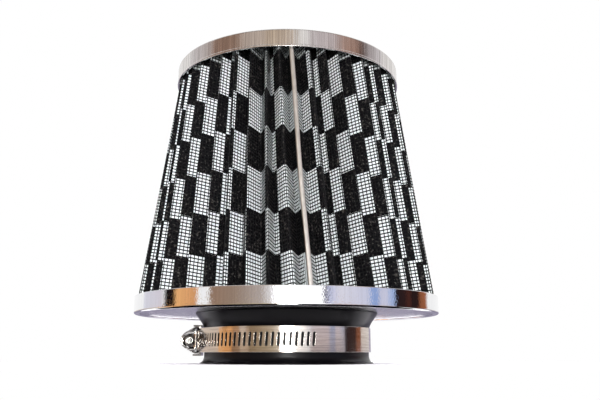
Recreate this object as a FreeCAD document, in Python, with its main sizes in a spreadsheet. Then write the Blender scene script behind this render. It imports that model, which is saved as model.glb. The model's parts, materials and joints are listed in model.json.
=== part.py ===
"""Cone air filter with a clamp-on rubber neck.

The filter stands on the mouth of its neck: +Z runs up the axis towards the cap, and the origin is the
centre of the mouth. The front is -Y, and the hose clamp's housing is turned away from it by clamp_turn.
All lengths are millimetres and all angles are degrees.
"""
import FreeCAD
import Part
import Sketcher
import math
import os
from types import SimpleNamespace

SIZES = (
    ("total_height", "156", "from the mouth of the neck to the top of the cap"),
    ("shell_wall", "1.2", "sheet of the chromed cap and base ring"),
    ("edge_bevel", "1.0", "bevel of the shells' outer corners"),
    ("base_r", "77.5", "outer radius of the base ring"),
    ("base_height", "8.7", "height of the base ring's wall"),
    ("base_recess", "1.0", "how far the base ring's floor stands up inside its rim"),
    ("base_bead", "3.0", "width of the rim under the base ring"),
    ("cap_r", "60.5", "outer radius of the cap"),
    ("cap_height", "9.2", "height of the cap's wall"),
    ("cap_rim", "9.0", "width of the flat rim on top of the cap"),
    ("cap_recess", "1.2", "depth of the dished middle of the cap"),
    ("seal_depth", "2.8", "potting compound between a shell's floor and the folds"),
    ("bore_r", "38", "inner radius of the neck, for a 76 mm pipe"),
    ("neck_wall", "4", "rubber wall of the neck"),
    ("neck_height", "24", "from the mouth to the base ring's rim"),
    ("lip_out", "2.15", "how far the lip stands out from the neck"),
    ("lip_height", "2.4", "height of the lip at the mouth"),
    ("flare_out", "5", "how far the neck widens under the base ring"),
    ("flare_height", "7", "height of the widening"),
    ("grip_depth", "2.5", "how deep the base ring's floor sits in the rubber"),
    ("flange_width", "11", "rubber flange that lies on the base ring's floor"),
    ("flange_height", "2.2", "thickness of that flange"),
    ("bell_out", "5", "widening at the inner end of the bore"),
    ("pleat_count", "50", "folds around the filter"),
    ("pleat_depth", "9", "radial depth of a fold"),
    ("pleat_twist", "6.5", "turn of the folds from the base to the cap"),
    ("pleat_gap", "0.2", "room between the fold tips and the shells' walls"),
    ("fabric", "1.0", "thickness of the filter fabric"),
    ("fold_outside", "0.9", "half width of a fold's back"),
    ("fold_inside", "0.25", "half width of a fold's hollow"),
    ("seam_turn", "9", "turn of the seam from the front, at the base"),
    ("fin_half", "0.5", "half thickness of the fin of two fabric ends"),
    ("fin_height", "1.5", "height of that fin"),
    ("clip_sheet", "0.4", "sheet of the seam clip"),
    ("clip_gap", "0.15", "room between the seam clip and the fin"),
    ("screen_gap", "0.3", "room between the folds and the support screen"),
    ("screen_wall", "0.8", "sheet of the support screen"),
    ("screen_columns", "20", "openings around the support screen"),
    ("screen_rows", "4", "openings up the support screen"),
    ("screen_bar", "5.2", "width of the bars between openings"),
    ("clamp_turn", "180", "turn of the clamp's housing about the axis"),
    ("band_room", "0.5", "room between the band's upper edge and the neck's widening"),
    ("band_width", "12", "width of the band"),
    ("band_sheet", "0.7", "thickness of the band"),
    ("band_lift", "0.3", "room between the neck and the band"),
    ("band_gap", "0.05", "room between the band and the pieces around it"),
    ("band_bend", "5", "inner radius of the band's bends beside the housing"),
    ("band_tail", "24", "turn over which the band's tail laps the neck"),
    ("slot_pitch", "2.7", "distance between slots along the band"),
    ("slot_length", "6.4", "length of a slot across the band"),
    ("slot_width", "1.1", "width of a slot"),
    ("slot_lean", "4", "lean of a slot"),
    ("slot_end", "108", "turn from the housing to the last slot"),
    ("saddle_lift", "1.4", "room between the neck and the saddle"),
    ("saddle_sheet", "0.8", "sheet of the saddle"),
    ("saddle_length", "9", "length of the saddle along the band"),
    ("tab_height", "4.2", "height of the saddle's side tabs"),
    ("housing_sheet", "0.8", "sheet of the housing"),
    ("housing_length", "15", "length of the housing along the band"),
    ("arch_slope", "30", "lean of the housing's sides"),
    ("barrel_r", "3.8", "radius of the round hollow over the worm"),
    ("wall_drop", "2.0", "how far the end wall reaches below the worm's axis"),
    ("tip_hole_r", "1.65", "radius of the hole around the worm's tip"),
    ("worm_r", "3.1", "root radius of the worm"),
    ("worm_gap", "0.15", "room between the worm's root and the band"),
    ("end_play", "0.3", "room at each end of the worm"),
    ("tip_r", "1.15", "radius of the worm's tip"),
    ("tip_out", "0.7", "how far the tip stands out of the end wall"),
    ("tip_bevel", "0.4", "bevel of the worm's tip"),
    ("collar_r", "3.7", "radius of the collar under the head"),
    ("collar_height", "0.8", "thickness of that collar"),
    ("head_flats", "7", "width of the hexagon head across its flats"),
    ("head_height", "4.2", "height of the head"),
    ("driver_slot", "1.2", "width of the slot in the head"),
    ("driver_depth", "1.8", "depth of that slot"),
)

ORIGIN_POINT = (-1, 1)
H_AXIS = -1
V_AXIS = -2
START = 1
END = 2
CENTRE = 3
NEAR = 1e-4
CUT_REACH = 4
AXIS = FreeCAD.Vector(0, 0, 1)


class Size:
    """A number together with the sheet expression that gives it."""

    def __init__(self, value, text):
        self.value = value
        self.text = text

    def __add__(self, other):
        return Size(self.value + plain(other), f"({self.text} + {wording(other)})")

    def __sub__(self, other):
        return Size(self.value - plain(other), f"({self.text} - {wording(other)})")

    def __mul__(self, other):
        return Size(self.value * plain(other), f"({self.text} * {wording(other)})")

    def __truediv__(self, other):
        return Size(self.value / plain(other), f"({self.text} / {wording(other)})")

    def __neg__(self):
        return Size(-self.value, f"(-{self.text})")


def plain(size):
    """The number behind a size, or a number as it is."""
    return size.value if isinstance(size, Size) else size


def wording(size):
    """The expression behind a size, or a number as text."""
    return size.text if isinstance(size, Size) else str(size)


def sine(angle):
    """Sine of an angle in degrees."""
    return Size(math.sin(math.radians(angle.value)), f"sin({angle.text} * 1deg)")


def tangent(angle):
    """Tangent of an angle in degrees."""
    return Size(math.tan(math.radians(angle.value)), f"tan({angle.text} * 1deg)")


doc = FreeCAD.newDocument("cone_air_filter")
sheet = doc.addObject("Spreadsheet::Sheet", "Sizes")
for row, (alias, number, meaning) in enumerate(SIZES, start=1):
    sheet.set(f"A{row}", meaning)
    sheet.set(f"B{row}", number)
    sheet.setAlias(f"B{row}", alias)
doc.recompute()
s = SimpleNamespace(**{alias: Size(float(sheet.get(alias)), f"Sizes.{alias}") for alias, _, _ in SIZES})

# Heights on the axis, from the mouth up.
base_floor = s.neck_height + s.base_recess
base_inside = base_floor + s.shell_wall
media_low = base_inside + s.seal_depth
cap_mouth = s.total_height - s.cap_height
cap_inside = s.total_height - s.cap_recess - s.shell_wall
media_high = cap_inside - s.seal_depth
media_height = media_high - media_low

# Radii that neighbours share.
neck_r = s.bore_r + s.neck_wall
flare_r = neck_r + s.flare_out
floor_hole_r = flare_r - s.grip_depth
flange_r = floor_hole_r + s.flange_width
base_inner_r = s.base_r - s.shell_wall
cap_inner_r = s.cap_r - s.shell_wall

# The fold tips run straight from just inside the base ring to just inside the cap's mouth, and on into it.
ridge_low_r = base_inner_r - s.pleat_gap
ridge_slope = (cap_inner_r - s.pleat_gap - ridge_low_r) / (cap_mouth - media_low)
ridge_high_r = ridge_low_r + ridge_slope * media_height

# The clamp is laid out with its housing on +X: distances out from the axis, through the housing's middle.
saddle_in = neck_r + s.saddle_lift
saddle_floor = saddle_in + s.saddle_sheet
lap_in = saddle_floor + s.band_gap
lap_out = lap_in + s.band_sheet + s.band_gap
worm_axis = lap_out + s.band_sheet + s.worm_gap + s.worm_r
band_start = base_floor - s.flare_height - s.band_room - s.band_width
band_middle = band_start + s.band_width / 2
leg_in = s.band_width / 2 + s.band_gap
leg_out = leg_in + s.housing_sheet
tab_in = leg_out + s.band_gap
tab_out = tab_in + s.saddle_sheet
clamp_place = FreeCAD.Placement(FreeCAD.Vector(), FreeCAD.Rotation(AXIS, s.clamp_turn.value))

sub_parts = []


def finish(piece, label, placement=FreeCAD.Placement()):
    """Name a finished sub-part, place it and keep it for the export."""
    piece.Label = label
    piece.Placement = placement
    sub_parts.append(piece)
    doc.recompute()


def origin_feature(body, role):
    """A plane or axis of the body's own origin."""
    return next(item for item in body.Origin.OriginFeatures if item.Role == role)


def new_sketch(body, plane, offset=None):
    """A sketch on one of the body's origin planes, moved along the plane's normal by offset."""
    sketch = body.newObject("Sketcher::SketchObject", f"{body.Name}_sketch")
    sketch.AttachmentSupport = [(origin_feature(body, plane), "")]
    sketch.MapMode = "FlatFace"
    if offset:
        sketch.setExpression("AttachmentOffset.Base.z", offset.text)
    doc.recompute()
    return sketch


def hold(sketch, kind, line, distance, axis):
    """Keep a line's start at a distance from the sketch's origin, or on the axis for zero."""
    corner = (line, START)
    if not isinstance(distance, Size):
        sketch.addConstraint(Sketcher.Constraint("PointOnObject", *corner, axis))
        return
    ends = (*ORIGIN_POINT, *corner) if distance.value > 0 else (*corner, *ORIGIN_POINT)
    length = distance if distance.value > 0 else -distance
    index = sketch.addConstraint(Sketcher.Constraint(kind, *ends, length.value))
    sketch.setExpression(f"Constraints[{index}]", length.text)


def draw_outline(sketch, corners):
    """Draw a closed outline of straight sides, with each corner held by its two distances."""
    first = sketch.GeometryCount
    points = [FreeCAD.Vector(plain(across), plain(up)) for across, up in corners]
    for start, end in zip(points, points[1:] + points[:1]):
        sketch.addGeometry(Part.LineSegment(start, end))
    lines = list(range(first, first + len(points)))
    for line, following in zip(lines, lines[1:] + lines[:1]):
        sketch.addConstraint(Sketcher.Constraint("Coincident", line, END, following, START))
    for line, (across, up) in zip(lines, corners):
        hold(sketch, "DistanceX", line, across, V_AXIS)
        hold(sketch, "DistanceY", line, up, H_AXIS)


def draw_circle(sketch, across, up, radius):
    """Draw a circle held by its centre's two distances and its radius."""
    centre = FreeCAD.Vector(across.value, up.value)
    circle = sketch.addGeometry(Part.Circle(centre, AXIS, radius.value))
    for kind, size in (("DistanceX", across), ("DistanceY", up)):
        index = sketch.addConstraint(Sketcher.Constraint(kind, *ORIGIN_POINT, circle, CENTRE, size.value))
        sketch.setExpression(f"Constraints[{index}]", size.text)
    index = sketch.addConstraint(Sketcher.Constraint("Radius", circle, radius.value))
    sketch.setExpression(f"Constraints[{index}]", radius.text)


def turned_body(name, corners):
    """A body turned about Z from an outline of radii and heights."""
    body = doc.addObject("PartDesign::Body", name)
    sketch = new_sketch(body, "XZ_Plane")
    draw_outline(sketch, corners)
    turn = body.newObject("PartDesign::Revolution", f"{name}_turn")
    turn.Profile = sketch
    turn.ReferenceAxis = (sketch, ["V_Axis"])
    turn.Angle = 360
    doc.recompute()
    return body


def extend(body, kind, sketch, length=None, side="One side", reverse=False):
    """Add a Pad or Pocket of the sketch to the body, through all where no length is given."""
    feature = body.newObject(f"PartDesign::{kind}", f"{body.Name}_{kind}")
    feature.Profile = sketch
    feature.SideType = side
    feature.Reversed = reverse
    if length:
        feature.setExpression("Length", length.text)
    else:
        feature.Type = "ThroughAll"
    doc.recompute()
    return feature


def ease_edges(body, kind, size, chosen):
    """Put a Fillet or Chamfer of a size on those edges of the body's tip that chosen accepts."""
    base = body.Tip
    names = [f"Edge{index}" for index, edge in enumerate(base.Shape.Edges, start=1) if chosen(edge)]
    easing = body.newObject(f"PartDesign::{kind}", f"{body.Name}_{kind}")
    easing.Base = (base, names)
    easing.setExpression("Radius" if kind == "Fillet" else "Size", size.text)
    doc.recompute()


def rings(*places):
    """A test for circular edges at the given radii and heights."""
    def chosen(edge):
        if not isinstance(edge.Curve, Part.Circle):
            return False
        circle = edge.Curve
        return any(abs(circle.Radius - plain(radius)) < NEAR and abs(circle.Center.z - plain(height)) < NEAR
                   for radius, height in places)
    return chosen


def long_edge(across, up):
    """A test for straight edges along Y at a place in the XZ plane."""
    def chosen(edge):
        ends = [vertex.Point for vertex in edge.Vertexes]
        return all(math.hypot(end.x - across.value, end.z - up.value) < NEAR for end in ends)
    return chosen


def make_base_ring():
    """Chromed cup: a short wall, a rim that the floor stands up inside, and a hole for the neck."""
    top = s.neck_height + s.base_height
    bead_r = s.base_r - s.base_bead
    body = turned_body("base_ring", [
        (s.base_r, s.neck_height), (s.base_r, top), (base_inner_r, top), (base_inner_r, base_inside),
        (floor_hole_r, base_inside), (floor_hole_r, base_floor), (bead_r, base_floor), (bead_r, s.neck_height),
    ])
    ease_edges(body, "Chamfer", s.edge_bevel, rings((s.base_r, s.neck_height)))
    finish(body, "base_ring")


def make_top_cap():
    """Chromed cup, mouth down, with a flat rim around a shallow dished middle."""
    dish_r = s.cap_r - s.cap_rim
    dish_floor_r = dish_r - s.cap_recess
    dish_floor = s.total_height - s.cap_recess
    body = turned_body("top_cap", [
        (0, dish_floor), (dish_floor_r, dish_floor), (dish_r, s.total_height), (s.cap_r, s.total_height),
        (s.cap_r, cap_mouth), (cap_inner_r, cap_mouth), (cap_inner_r, s.total_height - s.shell_wall),
        (dish_r, s.total_height - s.shell_wall), (dish_floor_r, cap_inside), (0, cap_inside),
    ])
    ease_edges(body, "Chamfer", s.edge_bevel, rings((s.cap_r, s.total_height)))
    finish(body, "top_cap")


def make_sealants():
    """Potting compound that fills each shell up to the ends of the folds."""
    dish_r = s.cap_r - s.cap_rim
    rim_inside = s.total_height - s.shell_wall
    finish(turned_body("top_sealant", [
        (0, media_high), (cap_inner_r, media_high), (cap_inner_r, rim_inside), (dish_r, rim_inside),
        (dish_r - s.cap_recess, cap_inside), (0, cap_inside),
    ]), "top_sealant")
    finish(turned_body("base_sealant", [
        (flange_r, base_inside), (base_inner_r, base_inside), (base_inner_r, media_low), (flange_r, media_low),
    ]), "base_sealant")


def make_rubber_neck():
    """Moulded neck: a lip at the mouth, and a groove that grips the floor of the base ring."""
    lip_r = neck_r + s.lip_out
    flare_start = base_floor - s.flare_height
    flange_top = base_inside + s.flange_height
    body = turned_body("rubber_neck", [
        (s.bore_r, 0), (lip_r, 0), (lip_r, s.lip_height), (neck_r, s.lip_height), (neck_r, flare_start),
        (flare_r, base_floor), (floor_hole_r, base_floor), (floor_hole_r, base_inside), (flange_r, base_inside),
        (flange_r, flange_top), (s.bore_r + s.bell_out, flange_top), (s.bore_r, s.neck_height),
    ])
    finish(body, "rubber_neck")


def beside(radius, across, angle, height):
    """A point at a radius in the direction of angle, moved sideways by across."""
    turn = math.radians(angle)
    return FreeCAD.Vector(radius * math.cos(turn) - across * math.sin(turn),
                          radius * math.sin(turn) + across * math.cos(turn), height)


def both_sides(radius, half, angle, height):
    """The two ends of a flat that lies across a direction."""
    return [beside(radius, -half, angle, height), beside(radius, half, angle, height)]


def flat_walls(low, high):
    """Two flat triangles for each side between two closed outlines with the same number of corners."""
    faces = []
    for a, b, c, d in zip(low, low[1:] + low[:1], high[1:] + high[:1], high):
        faces += [Part.Face(Part.makePolygon([a, b, c, a])), Part.Face(Part.makePolygon([a, c, d, a]))]
    return faces


def flat_sided_solid(low_outlines, high_outlines):
    """A solid between two flat ends, each one outline with any inner outlines as holes."""
    faces = []
    for outlines in (low_outlines, high_outlines):
        wires = [Part.makePolygon(outline + outline[:1]) for outline in outlines]
        faces.append(Part.makeFace(wires, "Part::FaceMakerBullseye"))
    for low, high in zip(low_outlines, high_outlines):
        faces += flat_walls(low, high)
    shell = Part.makeShell(faces)
    shell.sewShape()
    solid = Part.makeSolid(shell)
    if solid.Volume < 0:
        solid.reverse()
    return solid


def seam_ends():
    """Tip radius, angle and height of the seam fold at the base and at the cap."""
    low_angle = s.seam_turn.value - 90
    return ((ridge_low_r.value, low_angle, media_low.value),
            (ridge_high_r.value, low_angle - s.pleat_twist.value, media_high.value))


def fold_outlines(ridge_r, seam_angle, height):
    """Outer and inner outline of the folded fabric at one end; the first fold carries the seam's fin."""
    count = round(s.pleat_count.value)
    pitch = 360 / count
    depth = s.pleat_depth.value
    back = s.fold_outside.value
    hollow = s.fold_inside.value
    inner_r = ridge_r - s.fabric.value
    fin_r = ridge_r - s.clip_sheet.value - s.clip_gap.value
    shoulder_r = fin_r - s.fin_height.value
    outer = []
    inner = []
    for fold in range(count):
        ridge = seam_angle + fold * pitch
        valley = ridge + pitch / 2
        if fold == 0:
            outer += [beside(shoulder_r, -back, ridge, height), beside(shoulder_r, -s.fin_half.value, ridge, height)]
            outer += both_sides(fin_r, s.fin_half.value, ridge, height)
            outer += [beside(shoulder_r, s.fin_half.value, ridge, height), beside(shoulder_r, back, ridge, height)]
            inner += both_sides(shoulder_r - s.fabric.value, hollow, ridge, height)
        else:
            outer += both_sides(ridge_r, back, ridge, height)
            inner += both_sides(inner_r, hollow, ridge, height)
        outer += both_sides(ridge_r - depth, hollow, valley, height)
        inner += both_sides(inner_r - depth, back, valley, height)
    return [outer, inner]


def make_pleated_media():
    """Folded fabric: straight folds that lean in to the cap and twist a little on the way."""
    low, high = (fold_outlines(*end) for end in seam_ends())
    media = doc.addObject("Part::Feature", "pleated_media")
    media.Shape = flat_sided_solid(low, high)
    finish(media, "pleated_media")


def clip_outline(ridge_r, seam_angle, height):
    """Section of the channel that straddles the seam's fin."""
    gap = s.clip_gap.value
    sheet_thickness = s.clip_sheet.value
    hollow = s.fin_half.value + gap
    half = hollow + sheet_thickness
    roof_r = ridge_r - sheet_thickness
    foot_r = roof_r - s.fin_height.value
    left = [(foot_r, -half), (ridge_r, -half)]
    right = [(ridge_r, half), (foot_r, half), (foot_r, hollow), (roof_r, hollow)]
    inside = [(roof_r, -hollow), (foot_r, -hollow)]
    return [beside(radius, across, seam_angle, height) for radius, across in left + right + inside]


def make_seam_clip():
    """Folded metal channel along the seam, from potting compound to potting compound."""
    low, high = ([clip_outline(*end)] for end in seam_ends())
    clip = doc.addObject("Part::Feature", "seam_clip")
    clip.Shape = flat_sided_solid(low, high)
    finish(clip, "seam_clip")


def loft_panels(body, kind, low_r, high_r):
    """Add or cut away a tapered prism with one flat panel for each column of openings."""
    columns = round(s.screen_columns.value)
    sketches = []
    for radius, height in ((low_r, media_low), (high_r, media_high)):
        sketch = new_sketch(body, "XY_Plane", height)
        turns = [2 * math.pi * (corner + 0.5) / columns for corner in range(columns)]
        draw_outline(sketch, [(radius * math.cos(turn), radius * math.sin(turn)) for turn in turns])
        sketches.append(sketch)
    loft = body.newObject(f"PartDesign::{kind}", f"{body.Name}_{kind}")
    loft.Profile = sketches[0]
    loft.Sections = [(sketches[1], [""])]
    loft.Ruled = True
    doc.recompute()


def make_inner_screen():
    """Support cone of flat panels inside the folds, each panel with a column of tapered openings."""
    fold_to_screen = s.pleat_depth + s.fabric + s.screen_gap
    low_r = ridge_low_r - fold_to_screen
    high_r = ridge_high_r - fold_to_screen
    body = doc.addObject("PartDesign::Body", "inner_screen")
    loft_panels(body, "AdditiveLoft", low_r, high_r)
    loft_panels(body, "SubtractiveLoft", low_r - s.screen_wall, high_r - s.screen_wall)
    closed_volume = body.Shape.Volume
    sketch = new_sketch(body, "YZ_Plane")
    opening = (media_height - s.screen_bar) / s.screen_rows - s.screen_bar
    half_column = sine(Size(180, "180") / s.screen_columns)
    for row_index in range(round(s.screen_rows.value)):
        low = s.screen_bar + (opening + s.screen_bar) * row_index
        corners = []
        for rise, sides in ((low, (-1, 1)), (low + opening, (1, -1))):
            half = (low_r + ridge_slope * rise) * half_column - s.screen_bar / 2
            corners += [(half * side, media_low + rise) for side in sides]
        draw_outline(sketch, corners)
    openings = extend(body, "Pocket", sketch, reverse=True)
    if body.Shape.Volume >= closed_volume:
        raise RuntimeError("the support screen has no openings")
    around = body.newObject("PartDesign::PolarPattern", "inner_screen_openings")
    around.Originals = [openings]
    around.Axis = (origin_feature(body, "Z_Axis"), [""])
    around.Angle = 360
    around.setExpression("Occurrences", s.screen_columns.text)
    body.Tip = around
    finish(body, "inner_screen")


def flat_point(x, y):
    """A point in the plane of the band's lower edge."""
    return FreeCAD.Vector(x, y, band_start.value)


def rounded_path(corners, radius):
    """Straight runs through the corners, with each inner corner rounded to the radius."""
    edges = []
    start = corners[0]
    for before, corner, after in zip(corners, corners[1:], corners[2:]):
        back = (before - corner).normalize()
        ahead = (after - corner).normalize()
        half = back.getAngle(ahead) / 2
        run = radius / math.tan(half)
        middle = corner + (back + ahead).normalize() * (radius / math.sin(half) - radius)
        edges += [Part.makeLine(start, corner + back * run),
                  Part.Arc(corner + back * run, middle, corner + ahead * run).toShape()]
        start = corner + ahead * run
    return edges + [Part.makeLine(start, corners[-1])]


def neck_arc(radius, start_angle, end_angle):
    """An arc about the neck's axis, between two angles."""
    points = [beside(radius, 0, angle, band_start.value)
              for angle in (start_angle, (start_angle + end_angle) / 2, end_angle)]
    return Part.Arc(*points).toShape()


def leave_angle(out, along, radius):
    """Angle at which a straight run from a point beside the housing meets the neck's circle."""
    return math.degrees(math.atan2(along, out) + math.acos(radius / math.hypot(out, along)))


def band_paths():
    """Inner faces of the band's plain stretch and of its slotted stretch, each as a list of edges."""
    circle_r = neck_r.value + s.band_lift.value
    step = lap_out.value - lap_in.value
    bend = s.band_bend.value
    corner = s.housing_length.value / 2 - s.band_bend.value * math.tan(math.radians(s.arch_slope.value / 2))
    leave_in = leave_angle(lap_in.value, corner, circle_r)
    leave_out = leave_angle(lap_out.value, corner, circle_r)
    split = s.slot_end.value + math.degrees(s.slot_pitch.value / circle_r)
    outer_corner = corner + step * math.tan(math.radians(leave_in / 2))
    plain_run = rounded_path([flat_point(lap_in.value, 0), flat_point(lap_in.value, -corner),
                              beside(circle_r, 0, -leave_in, band_start.value)], bend)
    plain_run.append(neck_arc(circle_r, -leave_in, split - 360))
    slotted_run = [neck_arc(circle_r, split, leave_out)]
    slotted_run += rounded_path([beside(circle_r, 0, leave_out, band_start.value),
                                 flat_point(lap_out.value, corner), flat_point(lap_out.value, -outer_corner),
                                 beside(circle_r + step, 0, -leave_in, band_start.value)], bend)
    slotted_run.append(neck_arc(circle_r + step, -leave_in, -leave_in - s.band_tail.value))
    return plain_run, slotted_run


def strip(path):
    """The band's sheet, raised on the outer side of a path of edges."""
    section = Part.Wire(path).makeOffset2D(-s.band_sheet.value, 0, True, True, False)
    return section.extrude(AXIS * s.band_width.value)


def slot_cutter():
    """A bar that cuts one leaning slot, centred on the origin, with its length up and its depth along Y."""
    width = s.slot_width.value
    depth = CUT_REACH * s.band_sheet.value
    length = s.slot_length.value
    cutter = Part.makeBox(width, depth, length, FreeCAD.Vector(-width, -depth, -length) / 2)
    cutter.rotate(FreeCAD.Vector(), FreeCAD.Vector(0, 1, 0), -s.slot_lean.value)
    return cutter


def slots_along(path):
    """Slot cutters one pitch apart along a path, square to it and clear of its ends."""
    pitch = s.slot_pitch.value
    last = sum(edge.Length for edge in path) - pitch
    middle = AXIS * (s.band_width.value / 2)
    cutters = []
    passed = 0
    distance = pitch
    for edge in path:
        while distance < min(passed + edge.Length, last):
            parameter = edge.getParameterByLength(distance - passed)
            along = edge.tangentAt(parameter)
            turn = FreeCAD.Rotation(AXIS, math.degrees(math.atan2(along.y, along.x)))
            cutter = slot_cutter()
            cutter.Placement = FreeCAD.Placement(edge.valueAt(parameter) + middle, turn) * cutter.Placement
            cutters.append(cutter)
            distance += pitch
        passed += edge.Length
    return cutters


def make_clamp_band():
    """Clamp band: it starts on the saddle, goes round the neck and laps over itself under the worm."""
    plain_run, slotted_run = band_paths()
    slotted = strip(slotted_run).cut(slots_along(slotted_run))
    band = doc.addObject("Part::Feature", "clamp_band")
    band.Shape = strip(plain_run).fuse(slotted).removeSplitter()
    finish(band, "clamp_band", clamp_place)


def make_clamp_saddle():
    """Channel under the band, with side tabs that hold the housing's feet."""
    tab_end = saddle_in + s.tab_height
    body = doc.addObject("PartDesign::Body", "clamp_saddle")
    sketch = new_sketch(body, "XZ_Plane")
    draw_outline(sketch, [
        (saddle_in, band_middle - tab_out), (tab_end, band_middle - tab_out), (tab_end, band_middle - tab_in),
        (saddle_floor, band_middle - tab_in), (saddle_floor, band_middle + tab_in), (tab_end, band_middle + tab_in),
        (tab_end, band_middle + tab_out), (saddle_in, band_middle + tab_out),
    ])
    extend(body, "Pad", sketch, s.saddle_length, "Symmetric")
    finish(body, "clamp_saddle", clamp_place)


def make_clamp_housing():
    """Pressed arch over the worm, with feet beside the band and an end wall around the worm's tip."""
    slope = tangent(s.arch_slope)
    outer_r = s.barrel_r + s.housing_sheet
    peak_out = worm_axis + outer_r / sine(s.arch_slope)
    peak_in = worm_axis + s.barrel_r / sine(s.arch_slope)
    shoulder_out = peak_out - leg_out / slope
    shoulder_in = peak_in - leg_in / slope
    body = doc.addObject("PartDesign::Body", "clamp_housing")
    arch = new_sketch(body, "XZ_Plane")
    draw_outline(arch, [
        (saddle_floor, band_middle - leg_out), (shoulder_out, band_middle - leg_out), (peak_out, band_middle),
        (shoulder_out, band_middle + leg_out), (saddle_floor, band_middle + leg_out),
        (saddle_floor, band_middle + leg_in), (shoulder_in, band_middle + leg_in), (peak_in, band_middle),
        (shoulder_in, band_middle - leg_in), (saddle_floor, band_middle - leg_in),
    ])
    extend(body, "Pad", arch, s.housing_length, "Symmetric")
    wall = new_sketch(body, "XZ_Plane", s.housing_sheet - s.housing_length / 2)
    wall_low = worm_axis - s.wall_drop
    wall_half = (peak_out - wall_low) * slope
    draw_outline(wall, [(wall_low, band_middle - wall_half), (peak_out, band_middle),
                        (wall_low, band_middle + wall_half)])
    extend(body, "Pad", wall, s.housing_sheet, reverse=True)
    walled = body.Shape.Volume
    hole = new_sketch(body, "XZ_Plane")
    draw_circle(hole, worm_axis, band_middle, s.tip_hole_r)
    extend(body, "Pocket", hole)
    if body.Shape.Volume >= walled:
        raise RuntimeError("the housing's end wall has no hole")
    ease_edges(body, "Fillet", outer_r, long_edge(peak_out, band_middle))
    ease_edges(body, "Fillet", s.barrel_r, long_edge(peak_in, band_middle))
    finish(body, "clamp_housing", clamp_place)


def make_clamp_screw():
    """Worm screw on its own Z axis, tip up: worm, collar, and a slotted hexagon head."""
    half_housing = s.housing_length / 2
    tip_end = half_housing + s.tip_out
    worm_end = half_housing - s.housing_sheet - s.end_play
    collar_top = -(half_housing + s.end_play)
    collar_low = collar_top - s.collar_height
    head_end = collar_low - s.head_height
    body = turned_body("clamp_screw", [
        (0, tip_end), (s.tip_r, tip_end), (s.tip_r, worm_end), (s.worm_r, worm_end), (s.worm_r, collar_top),
        (s.collar_r, collar_top), (s.collar_r, collar_low), (0, collar_low),
    ])
    ease_edges(body, "Chamfer", s.tip_bevel, rings((s.tip_r, tip_end)))
    flat = s.head_flats / 2
    corner = s.head_flats / math.sqrt(3)
    hexagon = new_sketch(body, "XY_Plane", collar_low)
    draw_outline(hexagon, [(corner, 0), (corner / 2, flat), (-corner / 2, flat), (-corner, 0),
                           (-corner / 2, -flat), (corner / 2, -flat)])
    extend(body, "Pad", hexagon, s.head_height, reverse=True)
    headed = body.Shape.Volume
    groove = new_sketch(body, "XY_Plane", head_end)
    groove_half = s.driver_slot / 2
    draw_outline(groove, [(-corner, -groove_half), (corner, -groove_half), (corner, groove_half),
                          (-corner, groove_half)])
    extend(body, "Pocket", groove, s.driver_depth, reverse=True)
    if body.Shape.Volume >= headed:
        raise RuntimeError("the screw's head has no slot")
    lie_down = FreeCAD.Rotation(FreeCAD.Vector(1, 0, 0), -90)
    in_housing = FreeCAD.Placement(FreeCAD.Vector(worm_axis.value, 0, band_middle.value), lie_down)
    finish(body, "clamp_screw", clamp_place * in_housing)


def write_parts():
    """Check the document and every sub-part, then write one file for each."""
    doc.recompute()
    failed = [item.Label for item in doc.Objects if "Invalid" in item.State or "Error" in item.State]
    failed += [piece.Label for piece in sub_parts if piece.Shape.isNull() or not piece.Shape.isValid()]
    if failed:
        raise RuntimeError(f"these did not build: {failed}")
    os.makedirs("parts", exist_ok=True)
    for piece in sub_parts:
        piece.Shape.exportStep(f"parts/{piece.Label}.step")


def main():
    """Build every sub-part and write the files."""
    make_base_ring()
    make_top_cap()
    make_sealants()
    make_rubber_neck()
    make_pleated_media()
    make_seam_clip()
    make_inner_screen()
    make_clamp_band()
    make_clamp_saddle()
    make_clamp_housing()
    make_clamp_screw()
    write_parts()


main()
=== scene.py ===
"""Studio model of a cone air filter: chromed shells, checked folds under a net, rubber neck and hose clamp.

Sizes in the classes are millimetres and angles are degrees; meshes are scaled to metres as they are made.
The filter stands on the mouth of its neck, +Z runs up its axis, and the front is -Y.
"""
import json
import logging
import math
from dataclasses import dataclass, field
from enum import Enum
from typing import Any, Sequence

import bmesh
import bpy
import numpy as np
from mathutils import Euler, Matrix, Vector


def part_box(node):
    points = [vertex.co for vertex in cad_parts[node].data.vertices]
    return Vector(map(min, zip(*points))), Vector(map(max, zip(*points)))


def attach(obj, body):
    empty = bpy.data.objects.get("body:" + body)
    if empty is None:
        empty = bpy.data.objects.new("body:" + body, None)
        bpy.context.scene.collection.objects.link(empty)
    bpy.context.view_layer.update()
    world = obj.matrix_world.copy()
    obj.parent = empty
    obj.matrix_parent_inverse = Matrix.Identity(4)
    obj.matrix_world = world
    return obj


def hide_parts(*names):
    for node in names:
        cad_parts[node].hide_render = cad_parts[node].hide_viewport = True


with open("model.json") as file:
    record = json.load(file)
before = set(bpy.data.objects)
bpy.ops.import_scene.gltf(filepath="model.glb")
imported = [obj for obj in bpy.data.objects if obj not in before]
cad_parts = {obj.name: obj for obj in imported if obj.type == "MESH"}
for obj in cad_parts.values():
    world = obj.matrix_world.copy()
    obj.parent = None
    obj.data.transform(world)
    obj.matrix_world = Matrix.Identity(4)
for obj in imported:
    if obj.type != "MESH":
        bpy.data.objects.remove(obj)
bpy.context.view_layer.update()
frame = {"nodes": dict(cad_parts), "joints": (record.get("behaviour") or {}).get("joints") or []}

log = logging.getLogger("cone_air_filter")

MM = 0.001
SMOOTH_ANGLE = math.radians(38)
# Metres: points this near are one point, and corners of the frame's solids this near are welded.
SAME_POINT, WELD_REACH = 1e-7, 1e-6
# The part of its range that a noise fills.
NOISE_LOW, NOISE_HIGH = 0.3, 0.7
# Sides of a small rounded corner.
FEW_STEPS = 4

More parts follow.
